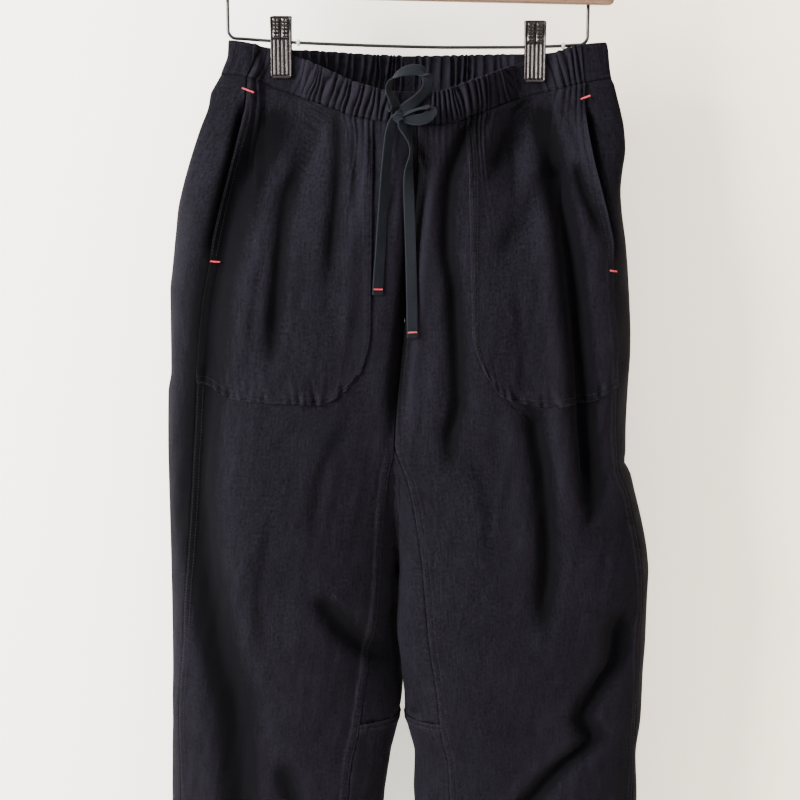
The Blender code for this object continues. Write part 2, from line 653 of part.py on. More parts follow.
def tube(name, path, radius):
    """A round rod along a path: a curve with a bevel and filled caps."""
    curve = bpy.data.curves.new(name, "CURVE")
    curve.dimensions = "3D"
    curve.bevel_depth = radius * MM
    curve.bevel_resolution = 2
    curve.use_fill_caps = True
    spline = curve.splines.new("POLY")
    spline.points.add(len(path) - 1)
    for point, (x, y, z) in zip(spline.points, path):
        point.co = (x * MM, y * MM, z * MM, 1)
    obj = bpy.data.objects.new(name, curve)
    return finish(obj, name)


def block(name, low, high, bevel=0.0, tilt=0.0):
    """A box between two corners, its edges rounded by a radius, its +X end let down by a tilt."""
    middle = [(a + b) / 2 * MM for a, b in zip(low, high)]
    bpy.ops.mesh.primitive_cube_add(size=1, location=middle)
    obj = bpy.context.object
    obj.scale = [(b - a) * MM for a, b in zip(low, high)]
    obj.rotation_euler = (0, tilt, 0)
    bpy.ops.object.transform_apply(location=False, rotation=False, scale=True)
    if bevel:
        modifier = obj.modifiers.new("Rounded edges", "BEVEL")
        modifier.width = bevel * MM
        modifier.segments = 4
    return finish(obj, name)


def arc(cx, cz, radius, start, end, count):
    angles = np.radians(np.linspace(start, end, count))
    return [(cx + radius * math.cos(a), 0.0, cz + radius * math.sin(a)) for a in angles]


def hanger():
    half = WOOD_HALF
    tilt = math.radians(WOOD_TILT)
    low, high = (-half, -WOOD_THICK / 2, WOOD_FOOT), (half, WOOD_THICK / 2, WOOD_TOP)
    block("hanger_bar", low, high, 5.0, tilt)
    drop = WIRE_X * math.tan(tilt)
    end_left, end_right = WOOD_FOOT - 0.35 + drop, WOOD_FOOT - 0.35 - drop
    corner = 7.5
    left = [(-WIRE_X, 0, end_left), (-WIRE_X, 0, WIRE_LEFT + corner + 1)]
    left += arc(-WIRE_X + corner, WIRE_LEFT + corner, corner, 180, 268, 6)
    right = arc(WIRE_X - corner, WIRE_RIGHT + corner, corner, 272, 360, 6)
    right += [(WIRE_X, 0, WIRE_RIGHT + corner + 1), (WIRE_X, 0, end_right)]
    middle = [(x, 0, z) for x, z in WIRE_LINE]
    tube("hanger_wire", left + middle + right, WIRE_R)
    path = [(0, 0, WOOD_TOP + 0.3), (0, 0, -62), (1.2, 0, -55), (5, 0, -48.5), (10.5, 0, -42.5)]
    path += arc(0, -HOOK_R, HOOK_R + HOOK_WIRE, -42, 190, 22)
    tube("hanger_hook", path, HOOK_WIRE)


def clip(side):
    cx, top, foot = CLIP_X[side], CLIP_TOP[side], CLIP_FOOT[side]
    half = CLIP_WIDE / 2
    near = 2.15 + 0.42
    ribs = [-9.5, -8.2, -7.4, -5.2, -4.4, -2.9, -2.1, -0.7, 0.7, 2.1, 2.9, 4.4, 5.2, 7.4, 8.2, 9.5]
    rises = [2.2, 2.2, 1.5, 1.5, 2.2, 2.2, 1.5, 1.5, 1.5, 1.5, 2.2, 2.2, 1.5, 1.5, 2.2, 2.2]
    rings = []
    levels = [foot, foot + 1.2, foot + 4, foot + 33, foot + 34, top - 3, top - 0.8, top]
    narrow = [0.72, 0.9, 1, 1, 1, 1, 0.97, 0.9]
    flare = [0, 0, 0, 0, 0, 1.6, 2.2, 2.4]
    for z, share, out in zip(levels, narrow, flare):
        plain = z > foot + 33.5 or z < foot + 2
        ring = [(cx + x * share, -near - out, z) for x in (ribs[0], ribs[-1])]
        face = [(cx + x * share, -near - out - (2.0 if plain else r), z) for x, r in zip(ribs, rises)]
        rings.append(ring + face[::-1])
    loft(f"clip_{side}_front", rings)
    rings = []
    for z, share, out in zip(levels, narrow, flare):
        z = z + (1.5 if z > foot + 34 else 0)
        w = half * share
        y1, y2 = near + out * 1.6, near + out * 1.6 + 1.8
        rings.append([(cx - w, y1, z), (cx + w, y1, z), (cx + w, y2, z), (cx - w, y2, z)])
    loft(f"clip_{side}_back", rings)
    wire = dict(WIRE_LINE)[-115 if side == "left" else 115]
    low, high = wire + WIRE_R + 0.5, wire + WIRE_R + 7
    deep = near - 0.4
    wide = half - 3
    block(f"clip_{side}_spring", (cx - wide, -deep, low), (cx + wide, deep, high), 0.8)


def stop_ring(name, x, z):
    """A small ring that keeps a clip from sliding along the wire."""
    bpy.ops.mesh.primitive_torus_add(
        location=(x * MM, 0, z * MM),
        rotation=(0, math.pi / 2, 0),
        major_segments=20,
        minor_segments=8,
        major_radius=(WIRE_R + 1.3) * MM,
        minor_radius=0.85 * MM,
    )
    finish(bpy.context.object, name)


def cloth_front_y(x, z):
    """The front cloth's outside y near the middle at a given x and height."""
    side = "left" if x < float(smooth(CENTRE_FRONT, z)) else "right"
    level = z
    for _ in range(6):
        shift = (float(smooth(BAND_BOTTOM["front"], x)) - Z_BAND) * float(ease(Z_FADE, Z_BAND, level))
        level = z - shift
    point, _ = cloth(side, float(p_at_x(side, x, level)), level)
    return float(point[1])


TAPE_WIDE, TAPE_THICK = 10.0, 1.6
BOW = {
    "bow_loop": [(-10.2, -40.9, -196.2), (-14.5, -41.5, -189), (-16.5, -42.5, -180), (-13.5, -43, -171),
                 (-5, -43.5, -164.5), (6, -44, -161.5), (14, -44, -163.5), (16.5, -43.5, -171),
                 (13, -43, -179), (4, -42, -187), (-5.8, -41, -195.7)],
    "bow_small": [(-2.8, -40.8, -199.2), (6, -42.5, -194), (14, -43, -192.5), (19.5, -42.5, -196.5),
                  (18, -42, -202.5), (10, -41.2, -205), (-2.8, -40.8, -204)],
}
KNOT_AT = (-39.9, -202.2)
TAIL_LEFT = [(-14, -208.3), (-16.5, -216), (-18.5, -248), (-20, -284), (-21, -319), (-22.5, -345), (-23, -360)]
TAIL_RIGHT = [(-3.4, -208.3), (1, -222), (2, -235), (0, -253), (1, -275), (4, -310), (6, -355), (7, -400)]


def tape(name, path, wide_way, wide=TAPE_WIDE):
    """A flat tape: its path's middle line and, point by point, the direction of its width."""
    path = np.asarray(path, float)
    way = np.gradient(path, axis=0)
    way /= np.linalg.norm(way, axis=1, keepdims=True)
    rings = []
    for point, forward, across in zip(path, way, wide_way):
        across = np.asarray(across, float)
        across = across - forward * np.dot(across, forward)
        across /= np.linalg.norm(across)
        thin = np.cross(forward, across)
        w, t = across * wide / 2, thin * TAPE_THICK / 2
        rings.append([point - w - t, point + w - t, point + w + t, point - w + t])
    return loft(name, rings)


def tail_path(table):
    """A free end hangs plumb from the knot and lies on the cloth where that comes forward."""
    path = []
    hang = -39.6
    for x, z in table:
        lie = min(cloth_front_y(x + dx, z) for dx in (-5, -2.5, 0, 2.5, 5)) - TAPE_THICK / 2 - 1.7
        hang = min(hang, lie)
        path.append((x, hang, z))
    return path


def drawstring():
    for name, path in BOW.items():
        widths = [(0.25, -1, 0.1) if name == "bow_loop" else (0, -1, 0.2)] * len(path)
        wide = 8.0 if name == "bow_loop" else 7.0
        tape(name, path, widths, wide)
    bpy.ops.mesh.primitive_uv_sphere_add(
        segments=16, ring_count=10, location=(-8.85 * MM, KNOT_AT[0] * MM, KNOT_AT[1] * MM)
    )
    knot = bpy.context.object
    knot.scale = (5.65 * MM, 3.4 * MM, 5.6 * MM)
    bpy.ops.object.transform_apply(location=False, rotation=False, scale=True)
    finish(knot, "knot")
    left = tail_path(TAIL_LEFT)
    turn = [(1, 0.5, 0), (1, 0.4, 0), (1, 0.3, 0), (1, 0.25, 0), (1, 0.2, 0), (1, 0.15, 0), (1, 0.1, 0)]
    tape("tape_left", left, turn)
    right = tail_path(TAIL_RIGHT)
    turn = [(1, 0.2, 0), (1, 0.1, 0), (1, 0, 0), (1, -0.1, 0), (1, -0.2, 0), (1, -0.1, 0), (1, 0, 0), (1, 0, 0)]
    tape("tape_right", right, turn)


FINISH = {
    "cloth": ((0.012, 0.011, 0.016), 0.9, 0.0),
    "tape": ((0.02, 0.025, 0.035), 0.85, 0.0),
    "wood": ((0.3, 0.13, 0.06), 0.45, 0.0),
    "metal": ((0.35, 0.35, 0.36), 0.3, 1.0),
    "plastic": ((0.5, 0.48, 0.45), 0.3, 0.0),
}
MATERIALS = {}


def main():
    for obj in list(bpy.data.objects):
        bpy.data.objects.remove(obj, do_unlink=True)
    bpy.context.scene.collection.children.link(COLLECTION)
    for key, (colour, rough, metal) in FINISH.items():
        material = bpy.data.materials.new(key)
        material.use_nodes = True
        shader = material.node_tree.nodes["Principled BSDF"]
        shader.inputs["Base Color"].default_value = (*colour, 1)
        shader.inputs["Roughness"].default_value = rough
        shader.inputs["Metallic"].default_value = metal
        MATERIALS[key] = material
    band("front", "waistband_front")
    band("back", "waistband_back")
    front_panel("left", "front_right", "pocket_right")
    front_panel("right", "front_left", "pocket_left")
    back_panel("left", "back_right")
    back_panel("right", "back_left")
    gusset()
    inner_leg("left", "inner_leg_right")
    inner_leg("right", "inner_leg_left")
    hanger()
    clip("left")
    clip("right")
    stop_ring("stop_left", -99.5, -134.7)
    stop_ring("stop_right", 141.0, -137.5)
    drawstring()


COLLECTION = bpy.data.collections.new("hung_trousers")

if __name__ == "__main__":
    main()
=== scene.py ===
"""Looks of the drawstring denim trousers on their clip hanger.

Every sheet of cloth is a fine thin shell on the same hung form as its solid. Lengths in the
tables are millimetres: x runs to the viewer's right, -y is the front, z is up from the hook.
Left and right in the names of cloth pieces are the wearer's; a Side is the viewer's.
"""

import logging
import math
from collections.abc import Sequence
from dataclasses import dataclass, field
from enum import Enum

import bpy
import numpy as np
from mathutils import Euler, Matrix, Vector


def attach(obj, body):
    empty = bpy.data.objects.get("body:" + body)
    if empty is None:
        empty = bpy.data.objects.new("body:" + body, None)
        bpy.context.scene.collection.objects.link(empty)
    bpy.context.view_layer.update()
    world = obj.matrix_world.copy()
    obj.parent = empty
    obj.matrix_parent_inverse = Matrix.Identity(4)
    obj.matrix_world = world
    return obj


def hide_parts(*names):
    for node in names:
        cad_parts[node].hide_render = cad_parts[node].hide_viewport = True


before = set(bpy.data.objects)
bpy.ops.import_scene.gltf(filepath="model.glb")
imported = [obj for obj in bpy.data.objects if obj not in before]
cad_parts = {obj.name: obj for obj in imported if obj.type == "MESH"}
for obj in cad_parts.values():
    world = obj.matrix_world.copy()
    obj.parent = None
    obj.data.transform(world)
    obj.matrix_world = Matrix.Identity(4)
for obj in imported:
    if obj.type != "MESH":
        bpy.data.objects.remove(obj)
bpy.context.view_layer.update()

LOG = logging.getLogger("trousers")
MM = 0.001
Table = Sequence[tuple[float, float]]
Triple = tuple[float, float, float]
Array = np.ndarray


class Side(Enum):
    """A half of the garment, as the viewer sees it."""

    LEFT = "left"
    RIGHT = "right"

    @property
    def wearer(self) -> str:
        """The wearer's name for this side, as the solids use it."""
        return "right" if self is Side.LEFT else "left"

    @property
    def sign(self) -> float:
        """The direction of this side along x."""
        return -1.0 if self is Side.LEFT else 1.0


class Face(Enum):
    """Front or back of the hung garment."""

    FRONT = "front"
    BACK = "back"


class Slot(Enum):
    """The record's material slots."""

    CLOTH = "cloth"
    TAPE = "tape"
    WOOD = "wood"
    METAL = "metal"
    PLASTIC = "plastic"


class Height:
    """Levels down the cloth."""

    BAND = -165.0
    FADE = -360.0
    TIP = -500.0
    SADDLE = -632.0
    GUSSET = -775.0
    HEM = -1100.0


@dataclass(frozen=True)
class Fold:
    """A soft trough down the cloth: a ridge where its depth is negative."""

    depth: float
    width: float
    line: Table


def smooth(table: Table, at: Array | float) -> Array:
    """A smooth line through a table's points, level beyond its ends.

    Args:
        table: Pairs of place and value.
        at: Places to read.

    Returns:
        The value at each place.
    """
    pairs = sorted(table)
    xs = np.array([pair[0] for pair in pairs], float)
    ys = np.array([pair[1] for pair in pairs], float)
    step = np.diff(ys) / np.diff(xs)
    slope = np.zeros_like(ys)
    same = step[:-1] * step[1:] > 0
    mean = 2 * step[:-1] * step[1:] / np.where(same, step[:-1] + step[1:], 1)
    slope[1:-1] = np.where(same, mean, 0)
    at = np.clip(np.asarray(at, float), xs[0], xs[-1])
    i = np.clip(np.searchsorted(xs, at) - 1, 0, len(xs) - 2)
    wide = xs[i + 1] - xs[i]
    t = (at - xs[i]) / wide
    return (
        (1 + 2 * t) * (1 - t) ** 2 * ys[i]
        + t * (1 - t) ** 2 * wide * slope[i]
        + t * t * (3 - 2 * t) * ys[i + 1]
        + t * t * (t - 1) * wide * slope[i + 1]
    )


def ease(low: float, high: float, at: Array | float) -> Array:
    """A soft step from 0 at low to 1 at high."""
    t = np.clip((np.asarray(at, float) - low) / (high - low), 0, 1)
    return t * t * (3 - 2 * t)


def bump(at: Array, middle: float, wide: float) -> Array:
    """A bell of height 1 round a middle."""
    return np.exp(-(((at - middle) / wide) ** 2))


def run_along(points: Array) -> Array:
    """How far each point of a line is from its start, along it."""
    return np.concatenate([[0], np.cumsum(np.linalg.norm(np.diff(points, axis=0), axis=1))])


def along_line(at: Array | float, far: Array, points: Array) -> Array:
    """The points of a line at given distances along it.

    Args:
        at: The distances.
        far: How far each of its points is along it.
        points: Its points.

    Returns:
        A point for each distance.
    """
    return np.stack([np.interp(at, far, points[:, k]) for k in range(3)], -1)


def unit(ways: Array) -> Array:
    """The same directions with a length of 1."""
    return ways / np.maximum(np.linalg.norm(ways, axis=-1, keepdims=True), 1e-9)


def squarer(wave: Array, power: float) -> Array:
    """A sine or cosine raised to a power under 1 with its sign kept."""
    return np.sign(wave) * np.abs(wave) ** power


def off_edge(points: Array) -> Array:
    """From 0 where the cloth is folded flat at its outer edge to 1 where it stands open."""
    return np.clip((np.abs(points[..., 1]) - 2.6) / 3.5, 0, 1)


class Wander:
    """Slow noise in two directions, the same each run."""

    def __init__(self, seed: int, terms: int = 9) -> None:
        rng = np.random.default_rng(seed)
        angle = rng.uniform(0, 2 * math.pi, terms)
        self.ways = np.stack([np.cos(angle), np.sin(angle)], -1)
        self.pace = rng.uniform(0.6, 1.7, terms)
        self.start = rng.uniform(0, 2 * math.pi, terms)

    def at(self, x: Array, z: Array, length: float, stretch: float = 1.0) -> Array:
        """The noise at places in the plane.

        Args:
            x: Places across.
            z: Places down.
            length: The usual wavelength.
            stretch: How many times longer the waves are down than across.

        Returns:
            Values of about -1 to 1.
        """
        total = np.zeros(np.broadcast(x, z).shape)
        for way, pace, start in zip(self.ways, self.pace, self.start):
            phase = (x * way[0] + z * way[1] / stretch) * 2 * math.pi * pace / length
            total += np.sin(phase + start)
        return total / math.sqrt(len(self.start)) * 0.8


class Measures:
    """The garment's own tables: outline, seams, depths, band, pockets and folds."""

    OUTER = {
        Side.LEFT: [
            (-130, -160), (-136, -162.5), (-150, -163.8), (-161, -168.6), (-171, -173.4),
            (-182, -180), (-193, -182.1), (-212, -189.9), (-231, -196.8), (-249, -202.8),
            (-267, -208), (-285, -212.2), (-304, -214.5), (-322, -216.9), (-341, -219.3),
            (-360, -221.7), (-435, -223), (-455, -226.4), (-520, -228.3), (-632, -228.7),
            (-776, -230.9), (-818, -233.1), (-870, -234.6), (-1000, -231), (-1100, -224),
        ],
        Side.RIGHT: [
            (-130, 176), (-136, 178), (-141, 180.9), (-155, 183.1), (-161, 184.2), (-171, 188.1),
            (-182, 191.1), (-193, 194.2), (-212, 198.4), (-231, 199.8), (-249, 197.6),
            (-267, 196.3), (-285, 197.7), (-304, 200.1), (-341, 204.9), (-435, 208.5),
            (-493, 207.3), (-513, 207.5), (-521, 206.5), (-532, 212.3), (-552, 217.7),
            (-572, 223.1), (-592, 227.6), (-612, 231.1), (-632, 232.7), (-693, 232.6),
            (-734, 231), (-776, 230.3), (-818, 226.6), (-870, 229.1), (-1000, 225),
            (-1100, 216),
        ],
    }
    SIDE_SEAM = {
        Side.LEFT: [
            (-130, -145), (-181, -147.1), (-231, -157.2), (-271, -167.4), (-316, -178.6),
            (-369, -190.1), (-416, -196), (-513, -205.2), (-612, -212.6), (-713, -217.3),
            (-870, -224), (-1100, -212),
        ],
        Side.RIGHT: [
            (-130, 160), (-183, 161), (-232, 167.7), (-271, 176), (-316, 184.6),
            (-343, 186.2), (-453, 193.9), (-521, 197), (-552, 208), (-622, 221),
            (-662, 223.8), (-786, 222), (-870, 220), (-1100, 204),
        ],
    }
    GUSSET_SEAM = {
        Side.LEFT: [
            (-500, -13), (-535, -19), (-560, -23), (-613, -30), (-642, -33), (-702, -38),
            (-775, -44), (-855, -49), (-1100, -58),
        ],
        Side.RIGHT: [
            (-500, -13), (-535, -3), (-583, 5), (-642, 12), (-692, 17), (-768, 28.5),
            (-855, 32), (-1100, 44),
        ],
    }
    CENTRE_FRONT = [
        (-130, 8), (-204, 9), (-260, 6), (-320, 3), (-364, -1), (-412, -6), (-456, -10),
        (-500, -13), (-560, -17), (-613, -21), (-682, -26), (-730, -19), (-753, -12.5),
        (-776, -6.8), (-818, -3), (-839, -5.8), (-860, -8.7), (-1100, -8),
    ]
    CENTRE_BACK = [
        (-130, 8), (-300, 0), (-480, -4), (-560, 4), (-620, 9), (-700, 9), (-750, 5),
        (-776, -3), (-830, -7), (-1100, -8),
    ]
    LEG_GAP = [
        (-500, 1.4), (-560, 1.6), (-632, 1.6), (-750, 1.6), (-776, 2.6), (-797, 7),
        (-818, 12), (-860, 14.5), (-1100, 36),
    ]
    VALLEY = [
        (-240, 0), (-330, 0.1), (-400, 0.16), (-460, 0.26), (-500, 0.4), (-540, 0.64),
        (-580, 0.85), (-610, 0.96), (-632, 1), (-700, 1),
    ]
    DEPTH = {
        Face.FRONT: [
            (-160, 22), (-250, 44), (-340, 51), (-500, 52), (-650, 50), (-800, 46), (-1100, 35),
        ],
        Face.BACK: [
            (-160, 18), (-250, 38), (-340, 49), (-500, 52), (-650, 50), (-800, 46), (-1100, 35),
        ],
    }
    SQUARE = [(-165, 4.6), (-250, 3.2), (-360, 2.6), (-1100, 2.4)]
    BAND_DEPTH = {
        Face.FRONT: [
            (-185, 10), (-150, 9), (-139, 7), (-130, 2.15), (-99, 2.15), (-90, 8), (-70, 19),
            (-40, 30), (0, 36), (40, 32), (70, 21), (90, 9), (99, 2.15), (131, 2.15), (140, 7),
            (158, 10), (190, 11),
        ],
        Face.BACK: [
            (-185, 10), (-150, 9), (-139, 7), (-130, 2.15), (-99, 2.15), (-90, 7), (-70, 14),
            (-40, 21), (0, 25), (40, 22), (70, 15), (90, 8), (99, 2.15), (131, 2.15), (140, 7),
            (158, 10), (190, 11),
        ],
    }
    BAND_TOP = {
        Face.FRONT: [
            (-165, -131), (-150, -132.5), (-130, -136.4), (-115, -140), (-96, -147), (-69, -159.5),
            (-43, -171), (-7, -178.5), (28, -178), (40, -174), (55, -168.5), (81, -158.5),
            (99, -152), (115, -144.5), (130, -141.6), (160, -134.5), (182, -133),
        ],
        Face.BACK: [
            (-165, -131), (-150, -132.5), (-130, -136.4), (-115, -138.5), (-96, -139), (-70, -140),
            (0, -143), (70, -142.5), (115, -142.6), (130, -141.6), (160, -134.5), (182, -133),
        ],
    }
    BAND_BOTTOM = {
        Face.FRONT: [
            (-190, -163), (-165, -163), (-150, -164.5), (-130, -172), (-115, -177.5), (-96, -184),
            (-69, -194), (-43, -202.5), (-7, -207), (28, -208), (55, -202), (82, -192),
            (99, -185.5), (115, -181), (126, -179), (157, -171.5), (181, -167), (200, -166),
        ],
        Face.BACK: [
            (-190, -163), (-165, -163), (-150, -164.5), (-130, -170), (-115, -173), (-70, -175),
            (0, -177), (70, -177), (115, -176), (126, -174), (157, -169), (181, -167), (200, -166),
        ],
    }
    POCKET_INNER = {
        Side.LEFT: [(-165, -31), (-392, -33.5), (-433, -44), (-455, -58)],
        Side.RIGHT: [(-165, 54), (-392, 58), (-442, 75), (-462, 92)],
    }
    POCKET_FOOT = {
        Side.LEFT: [(0, -432), (0.12, -448), (0.3, -460), (0.65, -457), (1, -443)],
        Side.RIGHT: [(0, -434), (0.12, -452), (0.32, -462), (0.65, -461), (1, -446)],
    }
    FOLDS = {
        Face.FRONT: [
            Fold(9, 24, [(-187, -122), (-275, -155), (-364, -177), (-456, -188), (-551, -198),
                         (-687, -182), (-767, -165), (-860, -162), (-960, -170)]),
            Fold(4, 9, [(-172, -74), (-200, -83), (-240, -96), (-275, -110), (-328, -115),
                        (-438, -124)]),
            Fold(3, 7, [(-180, -66), (-215, -63), (-275, -65), (-364, -71)]),
            Fold(5, 9, [(-186, 70), (-205, 59), (-231, 46), (-266, 37), (-310, 35), (-364, 42),
                        (-456, 46), (-494, 39), (-535, 42)]),
            Fold(3, 8, [(-170, 108), (-190, 103), (-231, 86), (-270, 75)]),
            Fold(1.6, 12, [(-235, 128), (-270, 115), (-345, 78)]),
            Fold(12, 12, [(-185, 121), (-231, 130), (-292, 141), (-346, 149), (-410, 157),
                          (-475, 163), (-580, 172)]),
            Fold(4, 9, [(-235, 154), (-325, 178)]),
            Fold(6, 12, [(-450, 114), (-541, 127), (-608, 131), (-690, 128)]),
            Fold(7, 13, [(-655, 203), (-707, 201), (-737, 183), (-767, 168), (-787, 178),
                         (-818, 147), (-870, 110), (-960, 96)]),
            Fold(5, 16, [(-640, -82), (-667, -68), (-702, -40), (-730, -24)]),
            Fold(7, 9, [(-222, 10), (-320, 3), (-364, -1), (-412, -6), (-500, -13)]),
            Fold(4, 14, [(-800, -120), (-900, -105), (-1010, -118)]),
            Fold(4, 14, [(-880, 180), (-960, 168), (-1040, 160)]),
        ],
        Face.BACK: [
            Fold(8, 22, [(-176, -108), (-200, -120), (-280, -140), (-400, -158), (-520, -165),
                         (-680, -176)]),
            Fold(5, 10, [(-172, -66), (-190, -70), (-260, -80), (-340, -92), (-420, -100)]),
            Fold(8, 16, [(-176, 112), (-200, 120), (-280, 132), (-400, 150), (-560, 164)]),
            Fold(4, 9, [(-172, 56), (-190, 60), (-260, 70), (-350, 74), (-430, 82)]),
            Fold(6, 12, [(-176, 4), (-220, 3), (-300, 0), (-400, -6), (-540, -8)]),
            Fold(6, 14, [(-430, 88), (-500, 98), (-600, 118), (-760, 130)]),
            Fold(6, 14, [(-450, -84), (-520, -94), (-620, -108), (-800, -124)]),
            Fold(5, 18, [(-720, -160), (-780, -148), (-860, -128), (-1040, -112)]),
            Fold(5, 18, [(-700, 176), (-760, 166), (-840, 140), (-1020, 112)]),
        ],
    }
    CREASES = {
        Face.FRONT: [
            Fold(1.4, 3.5, [(-200, -96), (-222, -101), (-252, -106)]),
            Fold(1.8, 3.5, [(-204, -50), (-240, -48), (-300, -46)]),
            Fold(1.2, 3, [(-210, -20), (-250, -14), (-330, -15)]),
            Fold(2.0, 4, [(-212, -31), (-245, -30), (-276, -29)]),
            Fold(1.4, 4, [(-196, 74), (-216, 66), (-244, 60)]),
            Fold(1.6, 4, [(-186, 110), (-215, 101), (-250, 88)]),
            Fold(1.5, 3, [(-190, 143), (-215, 150), (-243, 158)]),
            Fold(-1.6, 6, [(-240, -40), (-330, -52), (-430, -60)]),
            Fold(-2.0, 7, [(-250, 22), (-330, 14), (-440, 4), (-520, 2)]),
            Fold(1.2, 5, [(-300, -128), (-380, -140), (-450, -146)]),
            Fold(1.3, 4, [(-340, 96), (-420, 104), (-480, 100)]),
            Fold(1.8, 7, [(-470, -60), (-540, -84), (-600, -92)]),
            Fold(1.6, 8, [(-560, -130), (-640, -140), (-730, -132)]),
            Fold(1.6, 6, [(-500, 60), (-560, 74), (-640, 78)]),
            Fold(2.0, 5, [(-520, 186), (-556, 176), (-590, 160)]),
            Fold(1.6, 4, [(-640, -8), (-690, -20), (-736, -16)]),
            Fold(2.2, 4, [(-752, 20), (-764, 8), (-779, -3)]),
        ],
        Face.BACK: [
            Fold(1.6, 4, [(-184, -95), (-214, -99), (-250, -108)]),
            Fold(1.4, 4, [(-184, -40), (-226, -44), (-280, -44)]),
            Fold(1.5, 3.5, [(-184, 32), (-220, 34), (-268, 30)]),
            Fold(1.6, 4, [(-184, 92), (-222, 98), (-262, 104)]),
            Fold(-1.8, 8, [(-260, 40), (-360, 44), (-450, 50)]),
            Fold(-1.8, 8, [(-260, -44), (-380, -56), (-470, -62)]),
            Fold(1.8, 8, [(-560, 60), (-660, 74), (-760, 78)]),
            Fold(1.8, 8, [(-560, -50), (-650, -70), (-760, -80)]),
            Fold(2.0, 6, [(-800, -60), (-840, -96), (-860, -130)]),
            Fold(2.0, 6, [(-790, 60), (-830, 100), (-850, 134)]),
        ],
    }


